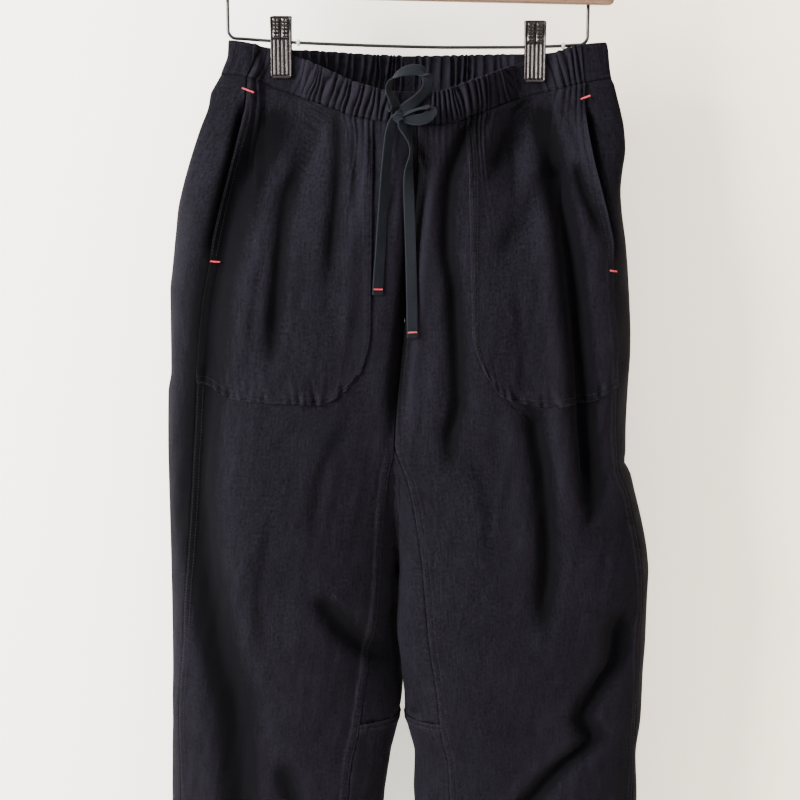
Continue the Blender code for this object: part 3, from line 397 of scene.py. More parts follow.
class Hung:
    """The form of the cloth as it hangs from the clips.

    A place on it has a side, a level and p, which is -1 at the outer edge, 0 at mid front and 1
    at the middle. Past either end p runs on round the back.
    """

    def __init__(self) -> None:
        self.wander = Wander(7)
        self.folds = {face: Measures.FOLDS[face] + Measures.CREASES[face] for face in Face}
        for face in Face:
            wide = Measures.FOLDS[face]
            self.folds[face] += [Fold(f.depth * 0.5, f.width * 0.5, f.line) for f in wide]

    @staticmethod
    def valley_turn(k: Array) -> Array:
        """How far round its section the cloth turns towards the middle."""
        return 0.62 + 0.38 * k**3

    def section(self, side: Side, p: Array, level: Array) -> tuple[Array, Array, Array]:
        """The plain section.

        Args:
            side: The viewer's side.
            p: Places round the section.
            level: Levels of the cloth.

        Returns:
            x, y, and whether each place is on the back.
        """
        p, level = np.broadcast_arrays(np.asarray(p, float), np.asarray(level, float))
        back = (p < -1) | (p > 1)
        c = np.where(p < -1, -2 - p, np.where(p > 1, 2 - p, p))
        k = np.clip(smooth(Measures.VALLEY, level), 0, 1)
        n = smooth(Measures.SQUARE, level)
        outer = smooth(Measures.OUTER[side], level)
        front_mid = smooth(Measures.CENTRE_FRONT, level)
        back_mid = smooth(Measures.CENTRE_BACK, level)
        middle = (outer + 0.5 * (front_mid + back_mid)) / 2
        turn = self.valley_turn(k) * math.pi / 2
        inner_r = (np.sin(np.clip(c, 0, 1) * turn) / np.sin(turn)) ** (2 / n)
        outer_r = np.sin(np.clip(-c, 0, 1) * math.pi / 2) ** (2 / n)
        inward = np.clip(1 - k * inner_r**n, 0, 1) ** (1 / n)
        outward = np.cos(np.clip(-c, 0, 1) * math.pi / 2).clip(0, 1) ** (2 / n)
        round_y = np.where(c >= 0, inward, outward)
        shift = 0.5 + 0.5 * inward
        mid_f = back_mid + (front_mid - back_mid) * shift
        mid_b = front_mid + (back_mid - front_mid) * shift
        mid = np.where(back, mid_b, mid_f)
        gap = np.where(level < -470, smooth(Measures.LEG_GAP, level), 0) * ease(-470, -510, level)
        near = np.clip((1 - c) * 14, 0, 1)
        below = np.clip((Height.SADDLE - level) / 3.0, 0, 1)
        open_up = np.clip(near + below, 0, 1)
        arch = np.sqrt(np.clip(2 * open_up - open_up**2, 0, 1))
        reach = mid + side.sign * gap * arch
        inner_x = middle + (reach - middle) * inner_r
        x = np.where(c >= 0, inner_x, middle + (outer - middle) * outer_r)
        blend = ease(-185, -330, level)
        depth = {
            face: smooth(Measures.BAND_DEPTH[face], x) * (1 - blend)
            + smooth(Measures.DEPTH[face], level) * blend
            for face in Face
        }
        y = np.where(back, depth[Face.BACK], -depth[Face.FRONT]) * round_y
        return x, y, back

    @staticmethod
    def height(x: Array, back: Array, level: Array) -> Array:
        """The height of a level where the band dips."""
        shift, high = {}, {}
        for face in Face:
            foot = smooth(Measures.BAND_BOTTOM[face], x)
            shift[face] = foot - Height.BAND
            high[face] = smooth(Measures.BAND_TOP[face], x) - foot
        dip = np.where(back, shift[Face.BACK], shift[Face.FRONT])
        tall = np.where(back, high[Face.BACK], high[Face.FRONT])
        over = (level - Height.BAND) * np.where(level > Height.BAND, tall / 28.0, 1)
        return Height.BAND + over + dip * ease(Height.FADE, Height.BAND, level)

    def dents(self, x: Array, z: Array, face: Face) -> Array:
        """The depth of all folds and creases of a face at given places."""
        total = np.zeros_like(x)
        for fold in self.folds[face]:
            low, high = fold.line[-1][0], fold.line[0][0]
            run = min(60.0, (high - low) * 0.4)
            here = ease(low, low + run, z) * ease(high, high - run * 0.5, z)
            total += fold.depth * here * bump(x, smooth(fold.line, z), fold.width)
        return total

    def hollow(self, points: Array, inward: Array) -> Array:
        """How deep in a fold each point lies, from -0.6 on a ridge to 1 in a deep trough: painted into
        the cloth's colour as painted highlight on ridges and painted shade in troughs.
        """
        x, z = points[..., 0], points[..., 2]
        front = np.clip(inward[..., 1] * 2.2 - 0.2, 0, 1)
        # The back's folds get weaker painted shade.
        behind = np.clip(-inward[..., 1] * 2.2 - 0.2, 0, 1) * 0.45
        deep = self.dents(x, z, Face.FRONT) * front + self.dents(x, z, Face.BACK) * behind
        beside = [
            self.dents(x + d, z, Face.FRONT) * front + self.dents(x + d, z, Face.BACK) * behind
            for d in (-26.0, -13.0, 13.0, 26.0)
        ]
        return np.clip((deep - 0.45 * np.mean(beside, 0)) / 5.0 - 0.14, -0.6, 1)

    @staticmethod
    def either_side(p: Array, level: Array, step: float) -> tuple[Array, Array]:
        """Two places about this one that don't cross the middle of the closed part."""
        whole = level > Height.SADDLE
        high = np.where(whole & (p <= 1), np.minimum(p + step, 1), p + step)
        low = np.where(whole & (p < -1), np.maximum(p - step, -3), p - step)
        return low, high

    def cloth(self, side: Side, p: Array, level: Array) -> tuple[Array, Array]:
        """Points on the outside of the hung cloth.

        Args:
            side: The viewer's side.
            p: Places round the section.
            level: Levels of the cloth.

        Returns:
            The points, and the inward direction at each.
        """
        p, level = np.broadcast_arrays(np.asarray(p, float), np.asarray(level, float))
        x, y, back = self.section(side, p, level)
        low, high = self.either_side(p, level, 0.004)
        x1, y1, _ = self.section(side, low, level)
        x2, y2, _ = self.section(side, high, level)
        tx, ty = x2 - x1, y2 - y1
        length = np.hypot(tx, ty) + 1e-9
        nx, ny = ty / length * side.sign, -tx / length * side.sign
        z = self.height(x, back, level)
        dents = np.where(back, self.dents(x, z, Face.BACK), self.dents(x, z, Face.FRONT))
        flat = np.clip((np.abs(y) - 4.0) / 14.0, 0, 1)
        slow = self.wander.at(x + np.where(back, 400, 0), z, 95, 1.8) * 1.3
        slow += self.wander.at(z * 0.7, x + np.where(back, 300, 0), 34, 0.6) * 0.35
        dents = (dents + slow * ease(-180, -260, z)) * flat
        inner = np.where(p < -1, -2 - p, np.where(p > 1, 2 - p, p))
        straight = ease(0.65, 1, inner) * (level > Height.SADDLE)
        x = x + nx * (1 - straight) * dents
        y = y + (ny * (1 - straight) + np.sign(ny) * straight) * dents
        return np.stack([x, y, z], -1), np.stack([nx, ny, np.zeros_like(nx)], -1)

    def p_at_x(self, side: Side, x: Array | float, level: Array | float, face: Face) -> Array:
        """The place round the section with a given x."""
        level = np.asarray(level, float)
        x = np.asarray(x, float)
        k = np.clip(smooth(Measures.VALLEY, level), 0, 1)
        n = smooth(Measures.SQUARE, level)
        outer = smooth(Measures.OUTER[side], level)
        front_mid = smooth(Measures.CENTRE_FRONT, level)
        back_mid = smooth(Measures.CENTRE_BACK, level)
        inner = front_mid if face is Face.FRONT else back_mid
        middle = (outer + 0.5 * (front_mid + back_mid)) / 2
        turn = self.valley_turn(k) * math.pi / 2
        r_in = np.clip((x - middle) / (inner - middle), 0, 1) ** (n / 2)
        r_out = np.clip((x - middle) / (outer - middle), 0, 1) ** (n / 2)
        c_in = np.arcsin(np.clip(r_in * np.sin(turn), 0, 1)) / turn
        c = np.where(r_in > 0, c_in, -np.arcsin(r_out) / (math.pi / 2))
        return c if face is Face.FRONT else -2 - c

    def p_step(self, side: Side, p: Array, level: Array, size: float) -> Array:
        """The change of p that moves a given distance round the section."""
        low, high = self.either_side(np.asarray(p, float), np.asarray(level, float), 0.01)
        x1, y1, _ = self.section(side, low, level)
        x2, y2, _ = self.section(side, high, level)
        speed = np.hypot(x2 - x1, y2 - y1) / (high - low)
        return size / np.maximum(speed, 8.0)

    def p_side(self, side: Side, level: Array) -> Array:
        """The place of the side seam."""
        return self.p_at_x(side, smooth(Measures.SIDE_SEAM[side], level), level, Face.FRONT)

    def p_inner(self, side: Side, level: Array) -> Array:
        """The inner edge of a front panel: centre front, then the gusset's and the leg's seam."""
        level = np.asarray(level, float)
        line = smooth(Measures.GUSSET_SEAM[side], level)
        seam = self.p_at_x(side, line, level, Face.FRONT)
        return np.where(level > Height.TIP, 1.0, np.minimum(seam, 1.0))

    def front_place(self, x: float, z: float) -> tuple[Array, Array]:
        """The point of the front at a given x and height, and its inward direction."""
        side = Side.LEFT if x < float(smooth(Measures.CENTRE_FRONT, z)) else Side.RIGHT
        level = z
        for _ in range(8):
            dip = float(smooth(Measures.BAND_BOTTOM[Face.FRONT], x)) - Height.BAND
            level = z - dip * float(ease(Height.FADE, Height.BAND, level))
        p = float(self.p_at_x(side, x, level, Face.FRONT))
        return self.cloth(side, p, level)


class Gathers:
    """The elastic's uneven gathers, the same lobes on the band and in the cloth below it."""

    GROUPS = {
        Face.FRONT: [
            (-160, -128, 5, 0.9), (-110, -34, 14, 1.1), (-34, -14, 4, 0.7), (20, 74, 12, 1.1),
            (74, 90, 2, 0.4), (90, 106, 4, 0.9), (124, 158, 6, 1.0), (158, 176, 2, 0.5),
        ],
        Face.BACK: [
            (-172, -131, 6, 0.8), (-100, -60, 5, 1.0), (-60, -32, 4, 0.6), (-32, -6, 5, 1.1),
            (6, 40, 4, 0.8), (40, 62, 4, 1.1), (62, 100, 5, 0.7), (131, 182, 7, 0.8),
        ],
    }

    def __init__(self) -> None:
        self.lobes: dict[Face, tuple[Array, Array, Array]] = {}
        for number, (face, groups) in enumerate(self.GROUPS.items()):
            rng = np.random.default_rng(21 + number)
            edges, strength, reach = [-400.0], [0.0], [1.0]
            for low, high, count, strong in groups:
                share = rng.uniform(0.55, 1.5, count)
                marks = low + (high - low) * np.concatenate([[0], np.cumsum(share) / share.sum()])
                for mark in marks[:-1]:
                    edges.append(float(mark))
                    strength.append(strong * rng.uniform(0.7, 1.25))
                    reach.append(rng.uniform(9, 26) if rng.random() < 0.6 else rng.uniform(30, 58))
                edges.append(float(marks[-1]))
                strength.append(0.0)
                reach.append(1.0)
            kept = [i for i in range(len(edges)) if i == 0 or edges[i] > edges[i - 1] + 0.05]
            order = np.array(kept)
            self.lobes[face] = (
                np.array(edges)[order], np.array(strength)[order], np.array(reach)[order],
            )
        for face, groups in self.GROUPS.items():
            edges, strength, reach = self.lobes[face]
            rng = np.random.default_rng(5)
            for low, _, _, strong in groups:
                near = int(np.argmin(np.abs(edges - low)))
                if strength[near] == 0:
                    strength[near] = strong
                    reach[near] = rng.uniform(8, 22)

    def at(self, x: Array, face: Face, down: Array | float | None = None) -> Array:
        """The rise of the gathers.

        Args:
            x: Places across, at the foot of the band.
            face: Front or back.
            down: Distance below the band, or None on the band.

        Returns:
            A height from about -0.5 in a groove to 0.6 on a lobe.
        """
        edges, strength, reach = self.lobes[face]
        i = np.clip(np.searchsorted(edges, x, side="right") - 1, 0, len(edges) - 2)
        wide = edges[i + 1] - edges[i]
        t = np.clip((x - edges[i]) / wide, 0, 1)
        lobe = (np.sin(math.pi * t) ** 0.75 - 0.45) * strength[i]
        if down is None:
            return lobe
        return lobe * np.exp(-np.asarray(down) / reach[i]) * np.clip(strength[i] * 3, 0, 1)


@dataclass
class Sheet:
    """A grid of points on the cloth's outside, before its relief."""

    name: str
    points: Array
    inward: Array
    uv: Array = field(init=False)
    from_first: Array = field(init=False)
    from_last: Array = field(init=False)
    from_top: Array = field(init=False)
    from_foot: Array = field(init=False)
    rise: Array = field(init=False)

    def __post_init__(self) -> None:
        across = np.linalg.norm(np.diff(self.points, axis=1), axis=-1)
        zero = np.zeros((self.points.shape[0], 1))
        self.from_first = np.concatenate([zero, np.cumsum(across, 1)], 1)
        self.from_last = self.from_first[:, -1:] - self.from_first
        along = np.linalg.norm(np.diff(self.points, axis=0), axis=-1)
        zero = np.zeros((1, self.points.shape[1]))
        self.from_top = np.concatenate([zero, np.cumsum(along, 0)], 0)
        self.from_foot = self.from_top[-1:] - self.from_top
        middle = self.from_first - self.from_first[:, -1:] / 2
        self.uv = np.stack([middle, -self.points[..., 2]], -1) * MM
        self.rise = np.zeros(self.points.shape[:2])

    @property
    def hem(self) -> Array:
        """The rise of the turned-up hem."""
        return 0.6 * (1 - ease(27, 29, self.from_foot))

    @property
    def outside(self) -> Array:
        """The points with the relief."""
        return self.points - self.inward * self.rise[..., None]

    def line(self, edge: str, distance: float) -> tuple[Array, Array]:
        """A line on the sheet at a distance from one of its edges.

        Args:
            edge: first, last, top or foot.
            distance: Millimetres from that edge.

        Returns:
            The line's points on the outside, and the outward direction at each.
        """
        outside, outward = self.outside, -self.inward
        if edge in ("top", "foot"):
            outside, outward = outside.swapaxes(0, 1), outward.swapaxes(0, 1)
            along = (self.from_top if edge == "top" else self.from_foot).T
        else:
            along = self.from_first if edge == "first" else self.from_last
        if edge in ("last", "foot"):
            outside, outward, along = outside[:, ::-1], outward[:, ::-1], along[:, ::-1]
        found = [along_line(distance, far, run) for run, far in zip(outside, along)]
        ways = [along_line(distance, far, way) for way, far in zip(outward, along)]
        return np.array(found), np.array(ways)


class Builder:
    """Makes meshes and puts them in the scene as pieces of the garment's one body."""

    def __init__(self) -> None:
        self.count = 0

    @staticmethod
    def mesh(
        name: str,
        points: Array,
        faces: Sequence[Sequence[int]] | Array,
        uv: Array | None = None,
        values: dict[str, Array] | None = None,
    ) -> bpy.types.Object:
        """A mesh object with its faces out, from points in millimetres.

        Args:
            name: The piece's name.
            points: Its points.
            faces: Its faces.
            uv: A texture place for each point, in metres.
            values: More values for each point, by attribute name.

        Returns:
            The object.
        """
        points = np.asarray(points, float).reshape(-1, 3) * MM
        data = bpy.data.meshes.new(name)
        rows = faces.tolist() if isinstance(faces, np.ndarray) else [list(f) for f in faces]
        data.from_pydata(points.tolist(), [], rows)
        data.calc_loop_triangles()
        tri = np.zeros(len(data.loop_triangles) * 3, np.int32)
        data.loop_triangles.foreach_get("vertices", tri)
        a, b, c = (points[tri.reshape(-1, 3)[:, k]] for k in range(3))
        if (a * np.cross(b, c)).sum() < 0:
            data.flip_normals()
        if uv is not None:
            layer = data.uv_layers.new(name="Cut")
            corner = np.zeros(len(data.loops), np.int32)
            data.loops.foreach_get("vertex_index", corner)
            layer.data.foreach_set("uv", uv.reshape(-1, 2)[corner].astype(np.float32).ravel())
        for key, value in (values or {}).items():
            attribute = data.attributes.new(key, "FLOAT", "POINT")
            attribute.data.foreach_set("value", np.asarray(value, np.float32).ravel())
        data.polygons.foreach_set("use_smooth", np.ones(len(data.polygons), bool))
        data.update()
        obj = bpy.data.objects.new(name, data)
        bpy.context.scene.collection.objects.link(obj)
        return obj

    def place(
        self, obj: bpy.types.Object, finish: bpy.types.Material, slot: Slot | None, *nodes: str
    ) -> bpy.types.Object:
        """Give a piece its finish, and hide the solids it stands for."""
        obj.data.materials.append(finish)
        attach(obj, "root")
        if nodes:
            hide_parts(*nodes)
        self.count += 1
        LOG.info("%s: %d points", obj.name, len(getattr(obj.data, "vertices", [])))
        return obj

    @staticmethod
    def grid_faces(rows: int, cols: int, start: int = 0, turn: bool = False) -> Array:
        """The four-sided faces of a grid of points."""
        i, j = np.meshgrid(np.arange(rows - 1), np.arange(cols - 1), indexing="ij")
        a = start + i * cols + j
        quads = np.stack([a, a + 1, a + cols + 1, a + cols], -1).reshape(-1, 4)
        return quads[:, ::-1] if turn else quads

    def shell(
        self,
        sheet: Sheet,
        wall: Array | float,
        values: dict[str, Array] | None = None,
        roll: float = 0.35,
    ) -> bpy.types.Object:
        """A thin closed shell on a sheet, its edges a little rounded.

        Args:
            sheet: The outside.
            wall: The thickness, one number or one at each point.
            values: More values for each point of the grid.
            roll: How much of the wall the edges round off.

        Returns:
            The object.
        """
        outside = sheet.outside
        rows, cols = outside.shape[:2]
        wall = np.broadcast_to(np.asarray(wall, float), (rows, cols))
        edge = np.minimum(
            np.minimum(sheet.from_first, sheet.from_last),
            np.minimum(sheet.from_top, sheet.from_foot),
        )
        rounding = wall * roll * (1 - ease(0, 0.9, edge))
        outer = outside + sheet.inward * rounding[..., None]
        inner = outside + sheet.inward * (wall - rounding * 0.4)[..., None]
        half = rows * cols
        faces = [self.grid_faces(rows, cols), self.grid_faces(rows, cols, half, True)]
        rim = np.concatenate([
            np.arange(cols),
            np.arange(1, rows) * cols + cols - 1,
            (rows - 1) * cols + np.arange(cols - 2, -1, -1),
            np.arange(rows - 2, 0, -1) * cols,
        ])
        after = np.roll(rim, -1)
        faces.append(np.stack([after, rim, half + rim, half + after], -1))
        both = {key: np.concatenate([v.ravel(), v.ravel()]) for key, v in (values or {}).items()}
        uv = np.concatenate([sheet.uv.reshape(-1, 2)] * 2)
        points = np.concatenate([outer.reshape(-1, 3), inner.reshape(-1, 3)])
        return self.mesh(sheet.name, points, np.concatenate(faces), uv, both)

    def loft(
        self,
        name: str,
        rings: Array,
        uv: Array | None = None,
        values: dict[str, Array] | None = None,
    ) -> bpy.types.Object:
        """A closed skin over rings of points, with flat ends."""
        rings = np.asarray(rings, float)
        count, per = rings.shape[:2]
        i, j = np.meshgrid(np.arange(count - 1), np.arange(per), indexing="ij")
        k = (j + 1) % per
        quads = np.stack([i * per + j, i * per + k, (i + 1) * per + k, (i + 1) * per + j], -1)
        faces: list[Sequence[int]] = quads.reshape(-1, 4).tolist()
        faces.append(list(range(per))[::-1])
        faces.append([(count - 1) * per + j for j in range(per)])
        return self.mesh(name, rings.reshape(-1, 3), faces, uv, values)

    def grains(
        self, name: str, starts: Array, ends: Array, ways: Array, thick: float, arch: float = 0.25
    ) -> bpy.types.Object:
        """Many short threads as one piece: each a small spindle from start to end.

        Args:
            name: The piece's name.
            starts: Where each thread comes out of the cloth.
            ends: Where it goes back in.
            ways: The outward direction at each.
            thick: The thread's thickness.
            arch: How high its middle stands over its ends.

        Returns:
            The object.
        """
        long = np.linalg.norm(ends - starts, axis=1, keepdims=True)
        along = unit(ends - starts)
        across = unit(np.cross(along, ways))
        up = np.cross(across, along)
        rings = []
        for share, size, lift in ((0.0, 0.5, -0.2), (0.5, 1.05, arch), (1.0, 0.5, -0.2)):
            middle = starts + along * long * share + up * lift * thick
            for k in range(4):
                angle = 2 * math.pi * (k + 0.5) / 4
                spoke = across * math.cos(angle) + up * math.sin(angle) * 0.8
                rings.append(middle + spoke * thick * size / 2)
        points = np.stack(rings, 1)
        quads = [(r * 4 + k, r * 4 + (k + 1) % 4, (r + 1) * 4 + (k + 1) % 4, (r + 1) * 4 + k)
                 for r in range(2) for k in range(4)]
        base = np.arange(len(starts))[:, None, None] * 12
        four = (np.array(quads)[None] + base).reshape(-1, 4)
        caps = (np.array([[3, 2, 1, 0], [8, 9, 10, 11]])[None] + base).reshape(-1, 4)
        faces = [list(map(int, f)) for f in four] + [list(map(int, f)) for f in caps]
        return self.mesh(name, points.reshape(-1, 3), faces)


class Graph:
    """A node tree being wired for one finish."""

    def __init__(self, name: str) -> None:
        self.material = bpy.data.materials.new(name)
        self.material.use_nodes = True
        self.tree = self.material.node_tree
        self.tree.nodes.clear()

    def node(self, kind: str, settings: dict | None = None, **inputs: object) -> bpy.types.Node:
        """Add a node.

        Args:
            kind: Its type.
            settings: Properties of the node.
            inputs: Values or links for its sockets, spaces in names written as _.

        Returns:
            The node.
        """
        made = self.tree.nodes.new(kind)
        for key, value in (settings or {}).items():
            setattr(made, key, value)
        for key, value in inputs.items():
            self.feed(made.inputs[key.replace("_", " ")], value)
        return made

    def feed(self, socket: bpy.types.NodeSocket, value: object) -> None:
        """Link a value to a socket, or set it there."""
        if isinstance(value, Value):
            self.tree.links.new(value.socket, socket)
        elif isinstance(value, bpy.types.NodeSocket):
            self.tree.links.new(value, socket)
        else:
            socket.default_value = value

    def value(self, socket: bpy.types.NodeSocket) -> "Value":
        """A socket as a value for arithmetic."""
        return Value(self, socket)

    def attribute(self, name: str) -> "Value":
        """One of the piece's own values."""
        return self.value(self.node("ShaderNodeAttribute", {"attribute_name": name}).outputs["Fac"])

    def place(self, cut: bool, scale: Triple) -> bpy.types.NodeSocket:
        """Places on the piece in millimetres over a scale: on its cut, or in the object."""
        if cut:
            source = self.node("ShaderNodeUVMap", {"uv_map": "Cut"}).outputs["UV"]
        else:
            source = self.node("ShaderNodeTexCoord").outputs["Object"]
        grown = self.node("ShaderNodeVectorMath", {"operation": "MULTIPLY"})
        self.feed(grown.inputs[0], source)
        grown.inputs[1].default_value = tuple(1000.0 * part for part in scale)
        return grown.outputs[0]

    def axes(self, cut: bool) -> tuple["Value", "Value"]:
        """The first two numbers of the places in millimetres."""
        split = self.node("ShaderNodeSeparateXYZ", Vector=self.place(cut, (1, 1, 1)))
        return self.value(split.outputs["X"]), self.value(split.outputs["Y"])

    def noise(self, cut: bool, scale: Triple, size: float, detail: float = 2.0,
              rough: float = 0.5) -> "Value":
        """Soft noise of about a given size in millimetres.

        Args:
            cut: Whether it lies on the piece's cut or in the object.
            scale: How far the places are stretched each way.
            size: Its usual size.
            detail: How many finer layers it has.
            rough: How strong they are.

        Returns:
            The noise.
        """
        made = self.node("ShaderNodeTexNoise", Vector=self.place(cut, scale), Scale=1.0 / size,
                         Detail=detail, Roughness=rough)
        return self.value(made.outputs["Fac"])

    def math(self, operation: str, *values: object) -> "Value":
        """Any operation of the Math node."""
        made = self.tree.nodes.new("ShaderNodeMath")
        made.operation = operation
        for socket, value in zip(made.inputs, values):
            self.feed(socket, value)
        return self.value(made.outputs[0])

    def mix(self, first: object, second: object, share: object) -> bpy.types.NodeSocket:
        """One colour turned into another."""
        made = self.tree.nodes.new("ShaderNodeMix")
        made.data_type = "RGBA"
        self.feed(made.inputs["Factor"], share)
        for socket, colour in ((made.inputs[6], first), (made.inputs[7], second)):
            self.feed(socket, (*colour, 1.0) if isinstance(colour, tuple) else colour)
        return made.outputs[2]

    def bump(self, height: "Value", depth: float, normal: object = None) -> bpy.types.NodeSocket:
        """A normal from heights, where a height of 1 is a depth in millimetres."""
        made = self.node("ShaderNodeBump", Strength=1.0, Distance=depth * MM, Height=height)
        if normal is not None:
            self.feed(made.inputs["Normal"], normal)
        return made.outputs["Normal"]

    def done(self, colour: object, rough: object, normal: object = None,
             **sockets: object) -> bpy.types.Material:
        """Close the tree with a principled shader.

        Args:
            colour: The base colour.
            rough: The roughness.
            normal: The normal, if any.
            sockets: Constants of other sockets.

        Returns:
            The material.
        """
        shader = self.node("ShaderNodeBsdfPrincipled")
        self.feed(shader.inputs["Base Color"], colour)
        self.feed(shader.inputs["Roughness"], rough)
        if normal is not None:
            self.feed(shader.inputs["Normal"], normal)
        for key, value in sockets.items():
            self.feed(shader.inputs[key.replace("_", " ")], value)
        out = self.node("ShaderNodeOutputMaterial")
        self.tree.links.new(shader.outputs[0], out.inputs["Surface"])
        return self.material


class Value:
    """A number in a node tree, with ordinary arithmetic."""

    def __init__(self, graph: Graph, socket: bpy.types.NodeSocket) -> None:
        self.graph = graph
        self.socket = socket

    def __add__(self, other: object) -> "Value":
        return self.graph.math("ADD", self, other)

    def __radd__(self, other: object) -> "Value":
        return self.graph.math("ADD", other, self)

    def __sub__(self, other: object) -> "Value":
        return self.graph.math("SUBTRACT", self, other)

    def __rsub__(self, other: object) -> "Value":
        return self.graph.math("SUBTRACT", other, self)

    def __mul__(self, other: object) -> "Value":
        return self.graph.math("MULTIPLY", self, other)

    def __rmul__(self, other: object) -> "Value":
        return self.graph.math("MULTIPLY", other, self)

    def sine(self) -> "Value":
        """The sine of this."""
        return self.graph.math("SINE", self)

    def size(self) -> "Value":
        """This without its sign."""
        return self.graph.math("ABSOLUTE", self)

    def span(self, low: float, high: float) -> "Value":
        """This stretched so that low becomes 0 and high 1, and no further."""
        made = self.graph.node("ShaderNodeMapRange", {"clamp": True}, Value=self)
        made.inputs["From Min"].default_value = low
        made.inputs["From Max"].default_value = high
        return Value(self.graph, made.outputs["Result"])


@dataclass(frozen=True)
class ClothFinish:
    """Dark washed twill: fine slanting weave, soft bloom, paler on its laps from wear, with painted
    highlight paling its ridges and painted shade darkening its folds.
    """

    name: str
    deep: Triple
    pale: Triple
    pitch: float = 0.85
    sheen: float = 0.016

    def build(self) -> bpy.types.Material:
        """Wire the material and return it."""
        g = Graph(self.name)
        u, v = g.axes(True)
        rib = ((u * 0.86 + v * 0.5) * (2 * math.pi / self.pitch)).sine()
        weft = ((v + u * 0.03) * (2 * math.pi / 0.55)).sine()
        slub = g.noise(True, (1.0, 0.08, 1), 1.5, 3.0)
        grain = g.noise(True, (1, 0.8, 1), 2.4, 5.0, 0.8)
        cloud = g.noise(True, (1, 0.6, 1), 38.0, 3.0, 0.6)
        pucker = g.noise(True, (0.25, 1, 1), 4.6, 2.0)
        # Painted light in the colour: the fold value darkens it as painted shade in fold troughs, gaps
        # and gather grooves, and lightens it as painted highlight on ridges and lobes. The wear value
        # is wear on seam edges together with painted highlight on gather lobes and folded edges.
        wear_and_highlight, seam = g.attribute("wear_and_highlight"), g.attribute("seam")
        fold = g.attribute("fold")
        tone = (grain - 0.5) * 3.6 + (slub - 0.5) * 1.3 + (cloud - 0.5) * 0.7 - fold * 0.95
        tone = tone + rib * 0.09 + weft * 0.04 + wear_and_highlight * 0.75 + seam * (pucker - 0.42) * 0.9
        share = (tone + 0.42).span(0.0, 1.3)
        colour = g.mix(self.deep, self.pale, share)
        height = rib * 0.35 + weft * 0.2 + (grain - 0.5) * 1.1 + (slub - 0.5) * 0.6
        fine = g.bump(height, 0.09)
        normal = g.bump(seam * pucker, 1.1, fine)
        rough = 0.86 - wear_and_highlight * 0.08 + (cloud - 0.5) * 0.08
        return g.done(colour, rough, normal, Sheen_Weight=self.sheen, Sheen_Roughness=0.42,
                      Sheen_Tint=(0.74, 0.68, 0.82, 1.0), Specular_IOR_Level=0.05)


@dataclass(frozen=True)
class TapeFinish:
    """Woven tape: fine ribs across, two fine lines along, and a painted highlight making its edges
    paler.
    """

    name: str
    deep: Triple
    pale: Triple

    def build(self) -> bpy.types.Material:
        """Wire the material and return it."""
        g = Graph(self.name)
        u, v = g.axes(True)
        slant = (u.size() * 0.9 + v) * (2 * math.pi / 0.9)
        rib = slant.sine()
        warp = (u * (2 * math.pi / 0.8)).sine()
        grain = g.noise(True, (1, 1, 1), 0.9, 3.0, 0.6)
        cloud = g.noise(True, (1, 0.5, 1), 9.0, 2.0)
        # Painted highlight: the edges are painted paler.
        edge = g.attribute("wear_and_highlight")
        tone = (grain - 0.5) * 0.8 + (cloud - 0.5) * 0.5 + rib * 0.14 + edge * 0.5
        colour = g.mix(self.deep, self.pale, (tone + 0.42).span(0.0, 1.1))
        normal = g.bump(rib * 0.5 + warp * 0.3 + (grain - 0.5) * 0.6, 0.14)
        return g.done(colour, 0.84 - edge * 0.1, normal, Sheen_Weight=0.03, Sheen_Roughness=0.4,
                      Sheen_Tint=(0.75, 0.8, 0.88, 1.0), Specular_IOR_Level=0.08)


@dataclass(frozen=True)
class ThreadFinish:
    """Sewing thread, a little uneven along its run."""

    name: str
    colour: Triple
    shade: Triple
    rough: float = 0.6

    def build(self) -> bpy.types.Material:
        """Wire the material and return it."""
        g = Graph(self.name)
        tone = g.noise(False, (1, 1, 1), 2.4, 3.0, 0.7)
        ply = g.noise(False, (1, 1, 1), 0.25, 2.0, 0.6)
        colour = g.mix(self.shade, self.colour, (tone * 0.7 + ply * 0.5).span(0.3, 0.85))
        normal = g.bump(ply, 0.08)
        return g.done(colour, self.rough + (tone - 0.5) * 0.2, normal, Sheen_Weight=0.02,
                      Specular_IOR_Level=0.15)


@dataclass(frozen=True)
class WoodFinish:
    """Pale oiled wood with long grain along the bar and a few pores."""

    name: str
    early: Triple
    late: Triple

    def build(self) -> bpy.types.Material:
        """Wire the material and return it."""
        g = Graph(self.name)
        rings = g.noise(False, (0.02, 1, 0.55), 2.6, 4.0, 0.55)
        bands = (rings * 34.0).sine() * 0.5 + 0.5
        pore = g.noise(False, (0.08, 1, 1), 0.5, 2.0, 0.6)
        cloud = g.noise(False, (0.15, 1, 1), 26.0, 2.0)
        share = bands * 0.45 + (cloud - 0.5) * 0.7 + pore.span(0.62, 0.75) * 0.5
        colour = g.mix(self.early, self.late, share.span(-0.1, 1.0))
        normal = g.bump(bands * 0.3 - pore.span(0.62, 0.75), 0.12)
        return g.done(colour, 0.42 + (pore - 0.5) * 0.25, normal, Coat_Weight=0.15,
                      Coat_Roughness=0.3)


@dataclass(frozen=True)
class MetalFinish:
    """Plated steel: fine scratches, dulled patches and darker specks."""

    name: str
    bright: Triple
    dull: Triple
    rough: float
    brushed: Triple = (1.0, 1.0, 0.12)
    metallic: float = 1.0

    def build(self) -> bpy.types.Material:
        """Wire the material and return it."""
        g = Graph(self.name)
        patch = g.noise(False, (1, 1, 1), 5.0, 4.0, 0.65)
        scratch = g.noise(False, self.brushed, 0.35, 3.0, 0.6)
        speck = g.noise(False, (1, 1, 1), 0.7, 2.0, 0.5)
        share = patch.span(0.35, 0.72) * 0.6 + speck.span(0.62, 0.8) * 0.4
        colour = g.mix(self.bright, self.dull, share.span(0.0, 1.0))
        rough = self.rough + (patch - 0.5) * 0.22 + (scratch - 0.5) * 0.18
        normal = g.bump(scratch * 0.6 + speck * 0.3, 0.03)
        return g.done(colour, rough, normal, Metallic=self.metallic)


